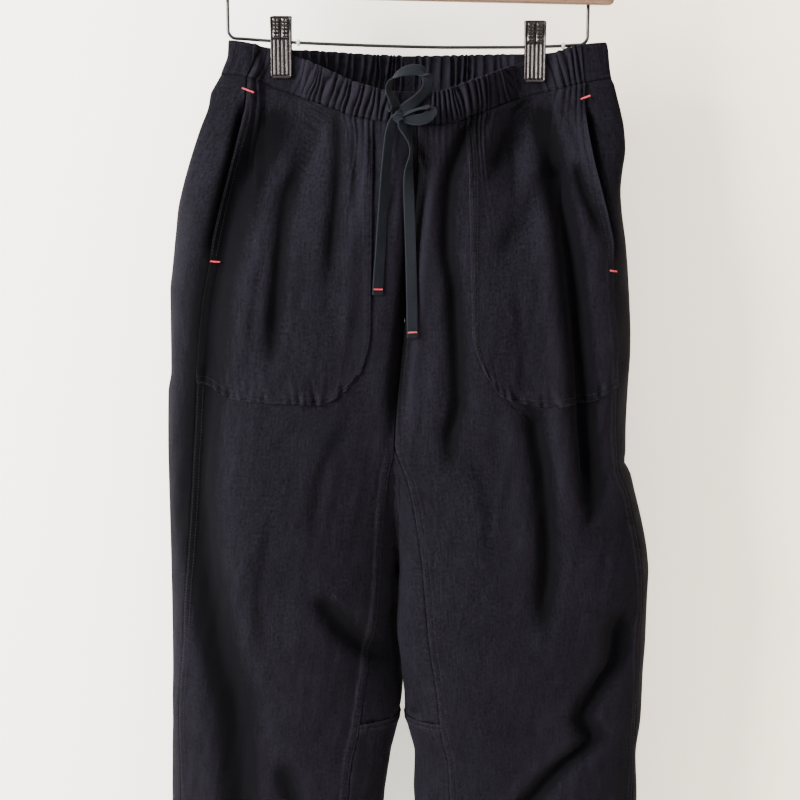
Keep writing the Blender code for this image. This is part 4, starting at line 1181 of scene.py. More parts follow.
@dataclass(frozen=True)
class PlasticFinish:
    """Soft clear plastic, a little cloudy."""

    name: str
    colour: Triple

    def build(self) -> bpy.types.Material:
        """Wire the material and return it."""
        g = Graph(self.name)
        cloud = g.noise(False, (1, 1, 1), 2.0, 3.0)
        pale = tuple(min(1.0, part * 1.2) for part in self.colour)
        colour = g.mix(self.colour, pale, cloud)
        return g.done(colour, 0.22 + cloud * 0.2, g.bump(cloud, 0.08), Transmission_Weight=0.55,
                      IOR=1.45)


@dataclass(frozen=True)
class PlasterFinish:
    """Matt painted wall or floor, very slightly mottled, its colour changing from left to right; on
    the wall both this change and its glow are painted light.
    """

    name: str
    colour: Triple
    far: Triple
    glow: float = 0.0

    def build(self) -> bpy.types.Material:
        """Wire the material and return it."""
        g = Graph(self.name)
        # Painted light: the colour turns across from the first colour to the second, on the wall from
        # white at the window lamp's side to a dimmer cream.
        across = g.axes(False)[0].span(-260.0, 330.0)
        mottle = g.noise(False, (1, 1, 1), 240.0, 3.0)
        colour = g.mix(self.colour, self.far, (across + (mottle - 0.5) * 0.2).span(0.0, 1.0))
        # With a glow, painted light: the surface shines like a lamp, brightening itself and lighting
        # the garment from behind.
        made = g.done(colour, 0.9, None, Emission_Color=(1.0, 0.955, 0.875, 1.0),
                      Emission_Strength=self.glow)
        if self.glow:
            out = g.tree.nodes["Material Output"]
            plaster = out.inputs["Surface"].links[0].from_socket
            choose = g.node("ShaderNodeMixShader")
            behind = g.node("ShaderNodeNewGeometry")
            g.tree.links.new(behind.outputs["Backfacing"], choose.inputs["Fac"])
            g.tree.links.new(plaster, choose.inputs[1])
            clear = g.node("ShaderNodeBsdfTransparent")
            g.tree.links.new(clear.outputs[0], choose.inputs[2])
            g.tree.links.new(choose.outputs[0], out.inputs["Surface"])
        return made


class Finishes:
    """All finishes of the part, built once."""

    CLOTH = ((0.0010, 0.0009, 0.0017), (0.0078, 0.0068, 0.0108))
    TAPE = ((0.0018, 0.0024, 0.0036), (0.0110, 0.0132, 0.0175))
    THREAD = ((0.0042, 0.0039, 0.0056), (0.0012, 0.0011, 0.0019))
    CORAL = ((0.52, 0.065, 0.075), (0.32, 0.035, 0.045))
    WOOD = ((0.15, 0.078, 0.044), (0.085, 0.040, 0.022))
    WIRE = ((0.055, 0.052, 0.052), (0.018, 0.017, 0.018))
    CLIP = ((0.036, 0.033, 0.033), (0.012, 0.011, 0.011))
    DARK = ((0.05, 0.047, 0.047), (0.015, 0.014, 0.014))
    # The wall's second colour, a dimmer cream at the right, is painted light falling off away from the
    # window lamp.
    WALL = ((0.90, 0.885, 0.845), (0.93, 0.80, 0.60))
    FLOOR = ((0.78, 0.77, 0.75), (0.76, 0.74, 0.70))

    def __init__(self) -> None:
        self.cloth = ClothFinish("washed dark twill", *self.CLOTH).build()
        self.tape = TapeFinish("slate woven tape", *self.TAPE).build()
        self.thread = ThreadFinish("dark thread", *self.THREAD).build()
        self.tack = ThreadFinish("coral thread", *self.CORAL, rough=0.5).build()
        self.wood = WoodFinish("oiled wood", *self.WOOD).build()
        self.wire = MetalFinish("dark plated wire", *self.WIRE, rough=0.34).build()
        self.clip = MetalFinish("nickel clip", *self.CLIP, rough=0.24).build()
        self.dark = MetalFinish("dark clip hollow", *self.DARK, rough=0.45).build()
        self.ring = PlasticFinish("clear ring", (0.62, 0.6, 0.56)).build()
        # The wall's glow is painted light: it shines though it is no lamp.
        self.wall = PlasterFinish("painted wall", *self.WALL, glow=0.95).build()
        self.floor = PlasterFinish("pale floor", *self.FLOOR).build()


@dataclass(frozen=True)
class Cut:
    """The flat cut of the part of a panel that shows."""

    width: float
    length: float
    area: float


class Seams:
    """Rows of stitches and tacks on finished sheets."""

    THREAD = 0.62
    PROUD = 0.08

    def __init__(self, builder: Builder, finishes: Finishes) -> None:
        self.builder = builder
        self.finishes = finishes

    def rows(
        self, name: str, lines: Sequence[tuple[Array, Array]], pitch: float = 3.1
    ) -> bpy.types.Object:
        """Sew rows of stitches along lines on the cloth.

        Args:
            name: The piece's name.
            lines: Each line's points and outward directions.
            pitch: From one stitch to the next.

        Returns:
            The piece.
        """
        starts, ends, ways = [], [], []
        for points, outward in lines:
            far = run_along(points)
            begin = (np.arange(int(far[-1] / pitch)) + 0.12) * pitch
            finish = begin + 0.76 * pitch
            way = unit(along_line((begin + finish) / 2, far, outward))
            starts.append(along_line(begin, far, points) + way * self.PROUD)
            ends.append(along_line(finish, far, points) + way * self.PROUD)
            ways.append(way)
        joined = (np.concatenate(part) for part in (starts, ends, ways))
        made = self.builder.grains(name, *joined, self.THREAD)
        return self.builder.place(made, self.finishes.thread, Slot.CLOTH)

    def tack(
        self, name: str, points: Array, outward: Array, wide: float = 1.7
    ) -> bpy.types.Object:
        """Sew one bar tack: close threads across a short line.

        Args:
            name: The piece's name.
            points: The line's two ends, on the cloth.
            outward: The outward direction.
            wide: The bar's width.

        Returns:
            The piece.
        """
        rng = np.random.default_rng(3)
        a, b = points
        long = float(np.linalg.norm(b - a))
        along, out = unit(b - a), unit(outward)
        across = np.cross(out, along)
        starts, ends = [], []
        count = max(6, int(long / 0.42))
        for k in range(count):
            middle = a + along * long * (k + 0.5) / count
            lean = along * 0.16
            reach = wide / 2 * rng.uniform(0.88, 1.12)
            starts.append(middle - across * reach - lean + out * 0.25)
            ends.append(middle + across * reach + lean + out * 0.25)
        for share in (-0.3, 0.0, 0.3):
            starts.append(a + across * wide * share + out * 0.1)
            ends.append(b + across * wide * share + out * 0.1)
        ways = np.tile(out, (len(starts), 1))
        made = self.builder.grains(name, np.array(starts), np.array(ends), ways, 0.55, 0.6)
        return self.builder.place(made, self.finishes.tack, Slot.CLOTH)


def spread(count: int, width: float, low: float, high: float, reach: float = 7.0) -> Array:
    """Shares from 0 to 1, closer together near the ends.

    Args:
        count: How many steps.
        width: The usual width in millimetres.
        low: How much closer they are near 0.
        high: How much closer they are near 1.
        reach: How far from an end the closeness goes.

    Returns:
        count + 1 shares.
    """
    at = np.linspace(0, width, 2000)
    weight = 1 + low * np.exp(-at / reach) + high * np.exp(-(width - at) / reach)
    total = np.cumsum(weight)
    total = (total - total[0]) / (total[-1] - total[0])
    return np.interp(np.linspace(0, 1, count + 1), total, at / width)


@dataclass
class Maker:
    """What every sub-assembly needs."""

    hung: Hung
    gathers: Gathers
    builder: Builder
    finishes: Finishes
    seams: Seams
    wander: Wander = field(default_factory=lambda: Wander(11, 12))

    FELLED_ROWS = (1.7, 7.0)
    LAP_TOP = -506.0

    def pucker(self, along: Array, across: Array, length: float = 7.0) -> Array:
        """Short uneven ripples along a seam."""
        return self.wander.at(across * 0.35, along, length) * 0.5

    @staticmethod
    def mouth(levels: Array, low: float = 24.0, high: float = 20.0) -> Array:
        """From 0 to 1 along the pocket's mouth, soft over a length at each end."""
        foot, head = -334.0, -184.0
        return ease(foot, foot + low, levels) * ease(head, head - high, levels)

    def felled(self, z: Array, near: Array, lap: Array) -> tuple[Array, Array]:
        """A felled seam: a raised lap, two grooves of stitches and puckers.

        Args:
            z: The height of each point.
            near: Its distance from the seam.
            lap: 1 where this piece is the upper one, 0 where it is under the other.

        Returns:
            The rise and the wear.
        """
        grooves = bump(near, self.FELLED_ROWS[0], 0.7) + bump(near, self.FELLED_ROWS[1], 0.7)
        rise = lap * (0.95 * (1 - ease(7.7, 8.9, near)) - 0.42 * grooves)
        rise += lap * self.pucker(z, near) * 0.55 * np.exp(-near / 9)
        return rise, lap * (bump(near, 8.0, 0.9) * 0.5 + bump(near, 0.6, 0.9) * 0.45)

    @staticmethod
    def lap(side: Side, levels: Array) -> Array:
        """1 where a panel laps over at its middle seam, all the way down on one side only."""
        return np.ones_like(levels) if side is Side.RIGHT else ease(-492, -512, levels)

    def middle_rows(self, sheet: Sheet, side: Side, level: Array) -> list[tuple[Array, Array]]:
        """The two rows of stitches beside a panel's middle seam, where it laps over.

        Args:
            sheet: The panel, its last column on the seam.
            side: The viewer's side.
            level: The levels of its rows.

        Returns:
            Each row's points and outward directions.
        """
        rows = [sheet.line("last", distance) for distance in self.FELLED_ROWS]
        first = 0 if side is Side.RIGHT else int(np.argmax(level < self.LAP_TOP))
        return [(line[first:], way[first:]) for line, way in rows]

    def cloth_piece(
        self, sheet: Sheet, wall: Array | float, values: dict[str, Array], cut: Cut, *nodes: str
    ) -> bpy.types.Object:
        """Make a panel from its sheet.

        Args:
            sheet: The panel's outside with its relief.
            wall: Its thickness.
            values: Wear with painted highlight, seam values, and painted shade for gaps.
            cut: The flat cut of what shows; not used.
            nodes: The solids it stands for.

        Returns:
            The piece.
        """
        # Painted shade and highlight: fold depth, with the gap shade, becomes the fold value that
        # darkens troughs and gaps and lightens ridges.
        hollow = self.hung.hollow(sheet.points, sheet.inward)
        values = {**values, "fold": np.clip(hollow + values.get("gap", 0.0), -0.6, 1)}
        values.pop("gap", None)
        obj = self.builder.shell(sheet, wall, values)
        self.builder.place(obj, self.finishes.cloth, Slot.CLOTH, *nodes)
        sides = np.diff(sheet.points, axis=1)[:-1], np.diff(sheet.points, axis=0)[:, :-1]
        area = float(np.linalg.norm(np.cross(*sides), axis=-1).sum()) * MM * MM
        LOG.info("%s: %.3f square metres shown", sheet.name, area)
        return obj


@dataclass
class FrontPanel:
    """One front with the patch pocket sewn on it."""

    make: Maker
    side: Side
    GAP = 0.05
    FOOT_ROWS = 84
    LOW_ROWS = 120
    FOOT_LEVEL = -433.0

    def grid(self) -> tuple[Array, Array]:
        """Places and levels of the front's points, with a row and a column on the patch's edges.

        Returns:
            The places round the section and the levels.
        """
        hung, side, gap = self.make.hung, self.side, self.GAP
        top = Height.BAND - gap
        inner = np.concatenate([
            np.linspace(top, self.FOOT_LEVEL, self.FOOT_ROWS + 1),
            np.linspace(self.FOOT_LEVEL, Height.HEM, self.LOW_ROWS + 1)[1:],
        ])
        foot_outer = Measures.POCKET_FOOT[side][-1][1]
        below = (inner[self.FOOT_ROWS + 1:] - self.FOOT_LEVEL) / (Height.HEM - self.FOOT_LEVEL)
        outer = np.concatenate([
            np.linspace(top, foot_outer, self.FOOT_ROWS + 1),
            foot_outer + (Height.HEM - foot_outer) * below,
        ])
        share = spread(124, 150, 1.2, 1.6)
        foot = smooth(Measures.POCKET_FOOT[side], share)
        down = np.arange(self.FOOT_ROWS + 1)[:, None] / self.FOOT_ROWS
        lower = ((outer[self.FOOT_ROWS + 1:] - foot_outer) / (Height.HEM - foot_outer))[:, None]
        level = np.concatenate([top + (foot - top) * down, foot + (Height.HEM - foot) * lower])
        edge_level = level[:, 0]
        p_patch = hung.p_at_x(
            side, smooth(Measures.POCKET_INNER[side], edge_level), edge_level, Face.FRONT
        )
        fade = ease(-470, -640, edge_level)
        seam = hung.p_inner(side, inner)
        end = seam - hung.p_step(side, seam - 0.02, inner, gap)
        start = hung.p_side(side, outer)
        start = start + hung.p_step(side, start, outer, gap)
        p_patch = p_patch * (1 - fade) + (start + (end - start) * 0.62) * fade
        edge = hung.p_side(side, level)
        edge = edge + hung.p_step(side, edge, level, gap)
        outer_p = p_patch[:, None] + (edge - p_patch[:, None]) * share
        step = spread(46, 70, 0.6, 5.0)[1:]
        inner_p = p_patch[:, None] + (end - p_patch)[:, None] * step
        inner_level = edge_level[:, None] + (inner - edge_level)[:, None] * step
        self.patch_cols = len(share)
        return (
            np.concatenate([outer_p[:, ::-1], inner_p], 1),
            np.concatenate([level[:, ::-1], inner_level], 1),
        )

    def build(self) -> None:
        """Make the front, its patch and their seams."""
        make, side = self.make, self.side
        places, levels = self.grid()
        points, inward = make.hung.cloth(side, places, levels)
        sheet = Sheet(f"front_{side.wearer}", points, inward)
        z = points[..., 2]
        mask = off_edge(points[:1])
        gather = make.gathers.at(points[0, :, 0], Face.FRONT, sheet.from_top) * mask
        mouth = make.mouth(levels)
        lap = make.lap(side, levels)
        near, far = sheet.from_last, sheet.from_first
        rise, edge = make.felled(z, near, lap)
        rise += gather * 3.0 - 0.9 * bump(sheet.from_top, 0, 1.5) * mask
        rise -= 0.55 * bump(near, 0, 0.8)
        side_lap = ease(-332, -350, levels)
        rise += side_lap * (0.75 * (1 - ease(6.8, 8.0, far)) - 0.3 * bump(far, 1.6, 0.7))
        rise -= 0.3 * side_lap * bump(far, 6.2, 0.7) + 0.5 * bump(far, 0, 0.8)
        rise += side_lap * make.pucker(z + 50, far) * 0.4 * np.exp(-far / 9)
        rise -= 3.2 * mouth * bump(far, 0, 6)
        rise += sheet.hem
        sheet.rise = rise
        edge += (bump(far, 7.4, 0.9) + bump(far, 0.6, 0.8)) * side_lap * 0.4
        # Wear on the seam edges, and painted highlight on the gather lobes below the band.
        wear_and_highlight = np.clip(np.clip(gather, 0, 1) * 0.6 + edge, 0, 1)
        seam = np.clip(lap * bump(near, 0, 10) + side_lap * bump(far, 0, 9), 0, 1)
        seam = np.clip(seam + np.exp(-sheet.from_foot / 14), 0, 1)
        cut = Cut(0.26, 0.94, 0.172) if side is Side.LEFT else Cut(0.27, 0.94, 0.182)
        node = f"front_{side.wearer}"
        # Painted shade: dark in the pocket mouth's gap and in the gather grooves.
        gap = 1.1 * mouth * bump(far, 0, 7) - 0.55 * np.clip(gather, -1, 0)
        make.cloth_piece(sheet, 1.1, {"wear_and_highlight": wear_and_highlight, "seam": seam, "gap": gap}, cut, node)
        rows = make.middle_rows(sheet, side, levels[:, -1])
        low = int(np.argmax(levels[:, 0] < -338))
        rows += [(line[low:], way[low:]) for line, way in (sheet.line("first", d) for d in (1.6, 6.2))]
        rows.append(sheet.line("foot", 26.0))
        make.seams.rows(f"stitches_front_{side.wearer}", rows)
        self.patch(sheet, gather, levels)

    def patch(self, front: Sheet, gather: Array, levels: Array) -> None:
        """Make the patch pocket from the front's own points, moved out.

        Args:
            front: The front.
            gather: Its gathers.
            levels: Its levels.
        """
        make, side = self.make, self.side
        cut = (slice(0, self.FOOT_ROWS + 1), slice(0, self.patch_cols))
        sheet = Sheet(f"pocket_{side.wearer}", front.points[cut], front.inward[cut])
        level = levels[cut]
        inner, foot, mouth_edge = sheet.from_last, sheet.from_foot, sheet.from_first
        border = np.minimum(inner, foot)
        mouth = make.mouth(level, 28, 22)
        mask = off_edge(sheet.points[:1])
        rise = 1.75 + gather[cut] * 3.0 - 0.9 * bump(sheet.from_top, 0, 1.5) * mask
        rise += 0.45 * (1 - ease(8.2, 9.6, border)) - 0.5 * bump(border, 0, 0.9)
        rise -= 0.4 * (bump(border, 1.9, 0.7) + bump(border, 7.4, 0.7))
        turn = np.clip(1 - foot / 34, 0, 1)
        x = sheet.points[..., 0]
        draw = make.pucker(x, foot * 0.4, 7.0) * turn**1.5
        rise += draw * 3.4
        # Painted shade in the gather grooves and in the puckers' hollows at the foot, and painted
        # highlight along the mouth's folded edge.
        dark = -0.9 * np.clip(gather[cut], -1, 0) - 1.3 * np.clip(draw, -1, 0)
        dark -= 0.5 * mouth * bump(mouth_edge, 0, 3)
        rise += make.pucker(sheet.points[..., 2], inner, 8.0) * 0.5 * np.exp(-inner / 10)
        rise += mouth * (3.4 * np.exp(-mouth_edge / 5.5) - 0.5 * bump(mouth_edge, 5.2, 1.0))
        rise += 0.35 * (1 - ease(6.6, 7.8, mouth_edge))
        sheet.rise = rise
        # Wear along the borders, painted highlight along the mouth's folded edge and on the gather
        # lobes, and paler towards the foot.
        wear_and_highlight = 0.12 * bump(border, 0.5, 1.0) + 0.75 * mouth * bump(mouth_edge, 0, 1.3)
        wear_and_highlight = wear_and_highlight + 0.5 * np.clip(gather[cut], 0, 1) + 0.25 * turn**2
        seam = np.clip(bump(border, 0, 9) + 0.5 * bump(mouth_edge, 0, 7), 0, 1)
        values = {"wear_and_highlight": np.clip(wear_and_highlight, 0, 1), "seam": seam, "gap": dark}
        name = f"pocket_{side.wearer}"
        cut_piece = Cut(0.17, 0.30, 0.042) if side is Side.LEFT else Cut(0.145, 0.30, 0.038)
        make.cloth_piece(sheet, 1.1, values, cut_piece, name)
        rows = [sheet.line("last", 1.9), sheet.line("last", 7.4)]
        rows += [sheet.line("foot", 1.9), sheet.line("foot", 7.4)]
        for far in (1.6, 5.2):
            line, way = sheet.line("first", far)
            low, high = int(np.argmax(level[:, 0] < -188)), int(np.argmax(level[:, 0] < -330))
            rows.append((line[low:high], way[low:high]))
        make.seams.rows(f"stitches_pocket_{side.wearer}", rows)


@dataclass
class BackPanel:
    """One back, from the side seam round the outer edge to the centre back."""

    make: Maker
    side: Side
    GAP = 0.05
    ROWS = 175
    COLUMNS = 104

    def build(self) -> None:
        """Make the back and its seams."""
        make, side, hung = self.make, self.side, self.make.hung
        top = Height.BAND - self.GAP
        level = np.linspace(top, Height.HEM, self.ROWS + 1)
        start = hung.p_side(side, level)
        start = start - hung.p_step(side, start, level, self.GAP)
        seam = hung.p_inner(side, level)
        end = -2 - (seam - hung.p_step(side, -2 - seam + 0.02, level, self.GAP))
        share = spread(self.COLUMNS, 270, 3.0, 3.5)
        places = start[:, None] + (end - start)[:, None] * share
        levels = np.broadcast_to(level[:, None], places.shape)
        points, inward = hung.cloth(side, places, levels)
        sheet = Sheet(f"back_{side.wearer}", points, inward)
        mask = off_edge(points[:1])
        gather = make.gathers.at(points[0, :, 0], Face.BACK, sheet.from_top) * mask
        gather = gather * (places[:1] < -1)
        near, far = sheet.from_last, sheet.from_first
        mouth = make.mouth(levels)
        lap = make.lap(side, levels)
        rise, edge = make.felled(points[..., 2], near, lap)
        rise += gather * 3.0 - 0.9 * bump(sheet.from_top, 0, 1.5) * mask
        rise -= 6.0 * mouth * bump(far, 0, 5.5)
        rise -= 0.5 * (bump(far, 0, 0.8) + bump(near, 0, 0.8))
        rise += sheet.hem
        sheet.rise = rise
        # Wear on the seam edges, and painted highlight on the gather lobes.
        wear_and_highlight = np.clip(np.clip(gather, 0, 1) * 0.6 + edge, 0, 1)
        around = np.clip(lap * bump(near, 0, 10) + 0.6 * bump(far, 0, 7), 0, 1)
        # Painted shade: dark at the pocket mouth's gap and in the gather grooves.
        gap = 2.2 * mouth * bump(far, 0, 5.5) - 0.9 * np.clip(gather, -1, 0)
        values = {"wear_and_highlight": wear_and_highlight, "seam": around, "gap": gap}
        node = f"back_{side.wearer}"
        make.cloth_piece(sheet, 1.1, values, Cut(0.31, 0.94, 0.242), node)
        rows = make.middle_rows(sheet, side, level)
        rows.append(sheet.line("foot", 26.0))
        make.seams.rows(f"stitches_back_{side.wearer}", rows)


@dataclass
class Gusset:
    """The long diamond through the crotch, one piece from front point to back point."""

    make: Maker
    SHARES = 30
    ALONG = 56
    GAP = 0.05

    @staticmethod
    def seam_level(v: float) -> float:
        """The height of its seam a share v of the way from point to foot."""
        return Height.TIP - 3 + (Height.GUSSET - Height.TIP + 3) * v

    def line(self, side: Side, v: float) -> tuple[Array, Array]:
        """One line of the gusset from its front seam to the middle of its length.

        Args:
            side: The viewer's side.
            v: The share of the way from the point to the foot.

        Returns:
            Places round the section and levels.
        """
        hung = self.make.hung
        start = self.seam_level(v) + self.GAP * (v == 1)
        middle = Height.SADDLE + (Height.GUSSET + self.GAP - Height.SADDLE) * v**1.15
        t = np.linspace(0, 1, self.ALONG)
        samples = np.linspace(Height.TIP - 3, Height.SADDLE, 400)
        closed = np.clip(1 - smooth(Measures.VALLEY, samples), 0, 1)
        deep = closed ** (1 / smooth(Measures.SQUARE, samples))
        share = np.interp(t, 1 - deep / deep[0], np.linspace(0, 1, 400))
        share = share * (1 - v) + t * v
        level = start + (middle - start) * share
        seam = hung.p_inner(side, start)
        seam = seam + hung.p_step(side, seam, start, self.GAP)
        seam = np.minimum(seam, 1.0)
        across = 1 - (1 - t) ** (1 / max(v, 0.02) ** 0.8)
        if v == 0:
            across = np.ones_like(t)
        below = np.clip((Height.SADDLE - level) / 3.0, 0, 1)
        apart = 0.07 * min(1.0, v / 0.05) * (1 - below)
        p = np.minimum(seam + (1 - seam) * across, 1 - apart)
        return np.maximum(p, seam), level

    def build(self) -> None:
        """Make the gusset."""
        make, hung = self.make, self.make.hung
        shares = (np.linspace(0, 1, self.SHARES + 1) ** 1.3).tolist()
        spans = [(Side.LEFT, v) for v in reversed(shares)] + [(Side.RIGHT, v) for v in shares[1:]]
        lines, flats = [], []
        for side, v in spans:
            p, level = self.line(side, v)
            back = (-2 - p[::-1][1:], level[::-1][1:])
            front, way = hung.cloth(side, p, level)
            behind, way_back = hung.cloth(side, *back)
            if v == 0:
                front = (front + hung.cloth(Side.RIGHT, p, level)[0]) / 2
                behind = (behind + hung.cloth(Side.RIGHT, *back)[0]) / 2
                way = np.tile([0.0, 1.0, 0.0], (len(way), 1))
                way_back = np.tile([0.0, -1.0, 0.0], (len(way_back), 1))
            lines.append(np.concatenate([front, behind]))
            flats.append(np.concatenate([way, way_back]))
        points, flat = np.array(lines), np.array(flats)
        normal = np.cross(np.gradient(points, axis=0), np.gradient(points, axis=1))
        normal /= np.linalg.norm(normal, axis=-1, keepdims=True) + 1e-9
        if normal[len(spans) // 2, self.ALONG - 1, 2] < 0:
            normal = -normal
        v = np.array([share for _, share in spans])[:, None]
        t = np.linspace(0, 1, points.shape[1])[None]
        mix = (np.clip(np.minimum(t, 1 - t) * 8, 0, 1) * np.clip((1 - v) * 5, 0, 1))[..., None]
        inward = flat * (1 - mix) + normal * mix
        inward /= np.maximum(np.linalg.norm(inward, axis=-1, keepdims=True), 1e-6)
        sheet = Sheet("gusset", points, inward)
        ends = np.minimum(sheet.from_first, sheet.from_last)
        feet = np.minimum(sheet.from_top, sheet.from_foot)
        x = points[..., 0]
        gather = make.pucker(x, feet, 6.5) * np.exp(-feet / 9)
        sheet.rise = -0.5 * bump(ends, 0, 0.9) + gather * 1.2 - 0.5 * bump(feet, 0, 0.9)
        # Wear on its seam ends, and painted highlight on the puckers' crests.
        wear_and_highlight = np.clip(0.35 * bump(ends, 0, 1.2) + 0.6 * np.clip(gather, 0, 1), 0, 1)
        around = np.clip(bump(ends, 0, 7) + bump(feet, 0, 9), 0, 1)
        values = {"wear_and_highlight": wear_and_highlight, "seam": around}
        make.cloth_piece(sheet, 1.1, values, Cut(0.20, 0.34, 0.042), "gusset")


@dataclass
class InnerLeg:
    """The inner leg panel below the gusset's foot."""

    make: Maker
    side: Side
    GAP = 0.05
    LAP = 2.0

    def build(self) -> None:
        """Make the panel with its laps under the front and back, and its rows of stitches."""
        make, side, hung = self.make, self.side, self.make.hung
        level = np.linspace(Height.GUSSET - self.GAP, Height.HEM, 100)
        seam = hung.p_inner(side, level)
        start = seam - hung.p_step(side, seam, level, self.LAP)
        share = spread(49, 150, 4.0, 4.0)
        places = start[:, None] + (2 - 2 * start)[:, None] * share
        levels = np.broadcast_to(level[:, None], places.shape)
        points, inward = hung.cloth(side, places, levels)
        name = f"inner_leg_{side.wearer}"
        sheet = Sheet(name, points, inward)
        shut = np.minimum(sheet.from_first, sheet.from_last)
        ends = np.maximum(shut - self.LAP, 0)
        top = sheet.from_top
        ripple = make.pucker(sheet.from_first - self.LAP, top * 0.4, 6.5)
        sheet.rise = (
            0.85 * (1 - ease(6.6, 7.8, top)) - 0.4 * (bump(top, 1.7, 0.7) + bump(top, 5.8, 0.7))
            + ripple * 2.0 * np.exp(-top / 8) - 0.5 * bump(ends, 0, 0.8)
            + sheet.hem - 1.3 * (1 - ease(1.2, 2.6, shut))
        )
        wear_and_highlight = np.clip(0.5 * bump(top, 7.2, 1.0) + 0.45 * bump(top, 0.5, 1.0), 0, 1)
        around = np.clip(bump(top, 0, 10) + bump(ends, 0, 6), 0, 1)
        values = {"wear_and_highlight": wear_and_highlight, "seam": around}
        make.cloth_piece(sheet, 1.1, values, Cut(0.15, 0.325, 0.037), name)
        rows = [sheet.line("top", 1.7), sheet.line("top", 5.8), sheet.line("foot", 26.0)]
        make.seams.rows(f"stitches_inner_leg_{side.wearer}", rows)


@dataclass
class Waistband:
    """Front or back of the gathered casing: cloth folded over elastic."""

    make: Maker
    face: Face
    RISE = 3.7
    ROWS = (0.10, 0.86)
    LEAN = {
        Face.FRONT: (
            (-150, -131, -98, -60, -20, 22, 34, 44, 62, 76, 92, 101, 130, 156),
            (3, 6, 9, 8, 4, 1, -2, -6, -3, 0, -12, -10, -8, -2),
        ),
        Face.BACK: ((-170, -100, -60, 0, 60, 100, 170), (3, -2, 2, 1, 1.5, -1, -2)),
    }

    def columns(self) -> list[tuple[Side, Array]]:
        """Places round the section of the band's columns, one run for each side.

        Returns:
            Each side and its places, all from the viewer's left to right.
        """
        hung = self.make.hung
        ends = {
            side: float(smooth(Measures.SIDE_SEAM[side], Height.BAND)) - side.sign * 0.05
            for side in Side
        }
        if self.face is Face.FRONT:
            middle = float(smooth(Measures.CENTRE_FRONT, Height.BAND))
            left = np.linspace(ends[Side.LEFT], middle, 265)
            right = np.linspace(middle, ends[Side.RIGHT], 265)[1:]
            return [
                (Side.LEFT, hung.p_at_x(Side.LEFT, left, Height.BAND, Face.FRONT)),
                (Side.RIGHT, hung.p_at_x(Side.RIGHT, right, Height.BAND, Face.FRONT)),
            ]
        runs = []
        for side in Side:
            edge = ends[side] + side.sign * 0.1
            start = float(hung.p_at_x(side, edge, Height.BAND, Face.FRONT))
            fine = np.linspace(start, -3, 3000)
            points, _ = hung.cloth(side, fine, Height.BAND)
            far = run_along(points)
            run = np.interp(np.linspace(0, far[-1], 295), far, fine)
            runs.append((side, run if side is Side.LEFT else run[::-1][1:]))
        return runs

    def build(self) -> None:
        """Make the band as one casing, with its rows of stitches."""
        make, hung, face = self.make, self.make.hung, self.face
        share = np.concatenate([[0, 0.02, 0.05], np.linspace(0.09, 0.93, 18)])
        level = Height.BAND + 0.05 + share * 27.4
        outer, inward, ripple = [], [], []
        for side, places in self.columns():
            points, way = hung.cloth(side, places[None, :], level[:, None])
            start = points[0, :, 0]
            tip = np.interp(start, *self.LEAN[face]) + make.wander.at(start, start * 0, 19.0) * 2.4
            lobe = make.gathers.at(start[None] - tip[None] * share[:, None] ** 1.2, face)
            if face is Face.BACK:
                lobe = lobe * (places < -1)
            outer.append(points)
            inward.append(way)
            ripple.append(lobe)
        points, way = np.concatenate(outer, 1), np.concatenate(inward, 1)
        lobe = np.concatenate(ripple, 1)
        mask = off_edge(points)
        s = share[:, None]
        z0 = points[0, :, 0][None]
        lean = make.wander.at(z0, s * 9.0, 11.0) * 0.35
        swell = np.sin(math.pi * np.clip(s * 0.94 + 0.04, 0, 1)) ** 0.6
        out = mask * (self.RISE * lobe * (0.5 + 0.6 * swell) + 0.5 * swell + lean * 0.8 * swell)
        out -= 0.9 * bump(s, 0, 0.05) * mask
        out -= 0.42 * mask * sum(bump(s, row, 0.028) for row in self.ROWS)
        wall = 1.7 + 1.3 * mask * swell
        front = points - way * out[..., None]
        behind = front + way * wall[..., None]
        top, top_way = front[-1], way[-1]
        half = wall[-1] / 2
        arcs = []
        lip, laps = 7, 3
        for angle in np.radians([18, 45, 72, 90, 108, 135, 162]):
            move = top + top_way * (half * (1 - math.cos(angle)))[:, None]
            move = move + np.array([0.0, 0.0, 1.0]) * (half * 1.1 * math.sin(angle))[:, None]
            arcs.append(move)
        scallop = (lobe[-1:] * mask[-1:] * 1.5).reshape(1, -1)
        drop = np.array([0.0, 0.0, 3.2])
        lap = np.array([front[0] + way[0] * 1.9 - drop, front[0] + way[0] * 1.2 - drop,
                        front[0] + way[0] * 1.2])
        rings = np.concatenate([front, np.array(arcs), behind[::-1], lap])
        edge = ease(0.5, 1, share)
        up = np.concatenate([edge, np.ones(lip), edge[::-1], np.zeros(laps)])
        rings[..., 2] += up[:, None] * scallop
        rings = rings.swapaxes(0, 1)
        per = rings.shape[1]
        along = run_along(points[0])
        over = share * 28
        round_it = np.concatenate([over, np.arange(29, 29 + lip), 64 - over[::-1], [66, 67, 69]])
        uv = np.stack(np.broadcast_arrays(along[:, None], -round_it[None]), -1) * MM
        lift = np.concatenate([swell[:, 0], np.ones(lip), swell[::-1, 0], np.zeros(laps)])
        lobes = [lobe, np.repeat(lobe[-1:], lip, 0), lobe[::-1], np.repeat(lobe[:1], laps, 0)]
        crest = np.concatenate(lobes).T
        # Painted highlight on the gather lobes, fading towards the sewn edges, and a little paler
        # along the top fold.
        wear_and_highlight = np.clip(crest * 0.9 + 0.12, 0, 1) * lift
        wear_and_highlight[:, len(share): len(share) + lip] += 0.18
        sewn_in = bump(share, 0, 0.16)
        seam = np.concatenate([sewn_in, np.zeros(lip), sewn_in[::-1], np.ones(laps)])
        seam = np.broadcast_to(seam * 0.8, (len(along), per))
        name = f"waistband_{face.value}"
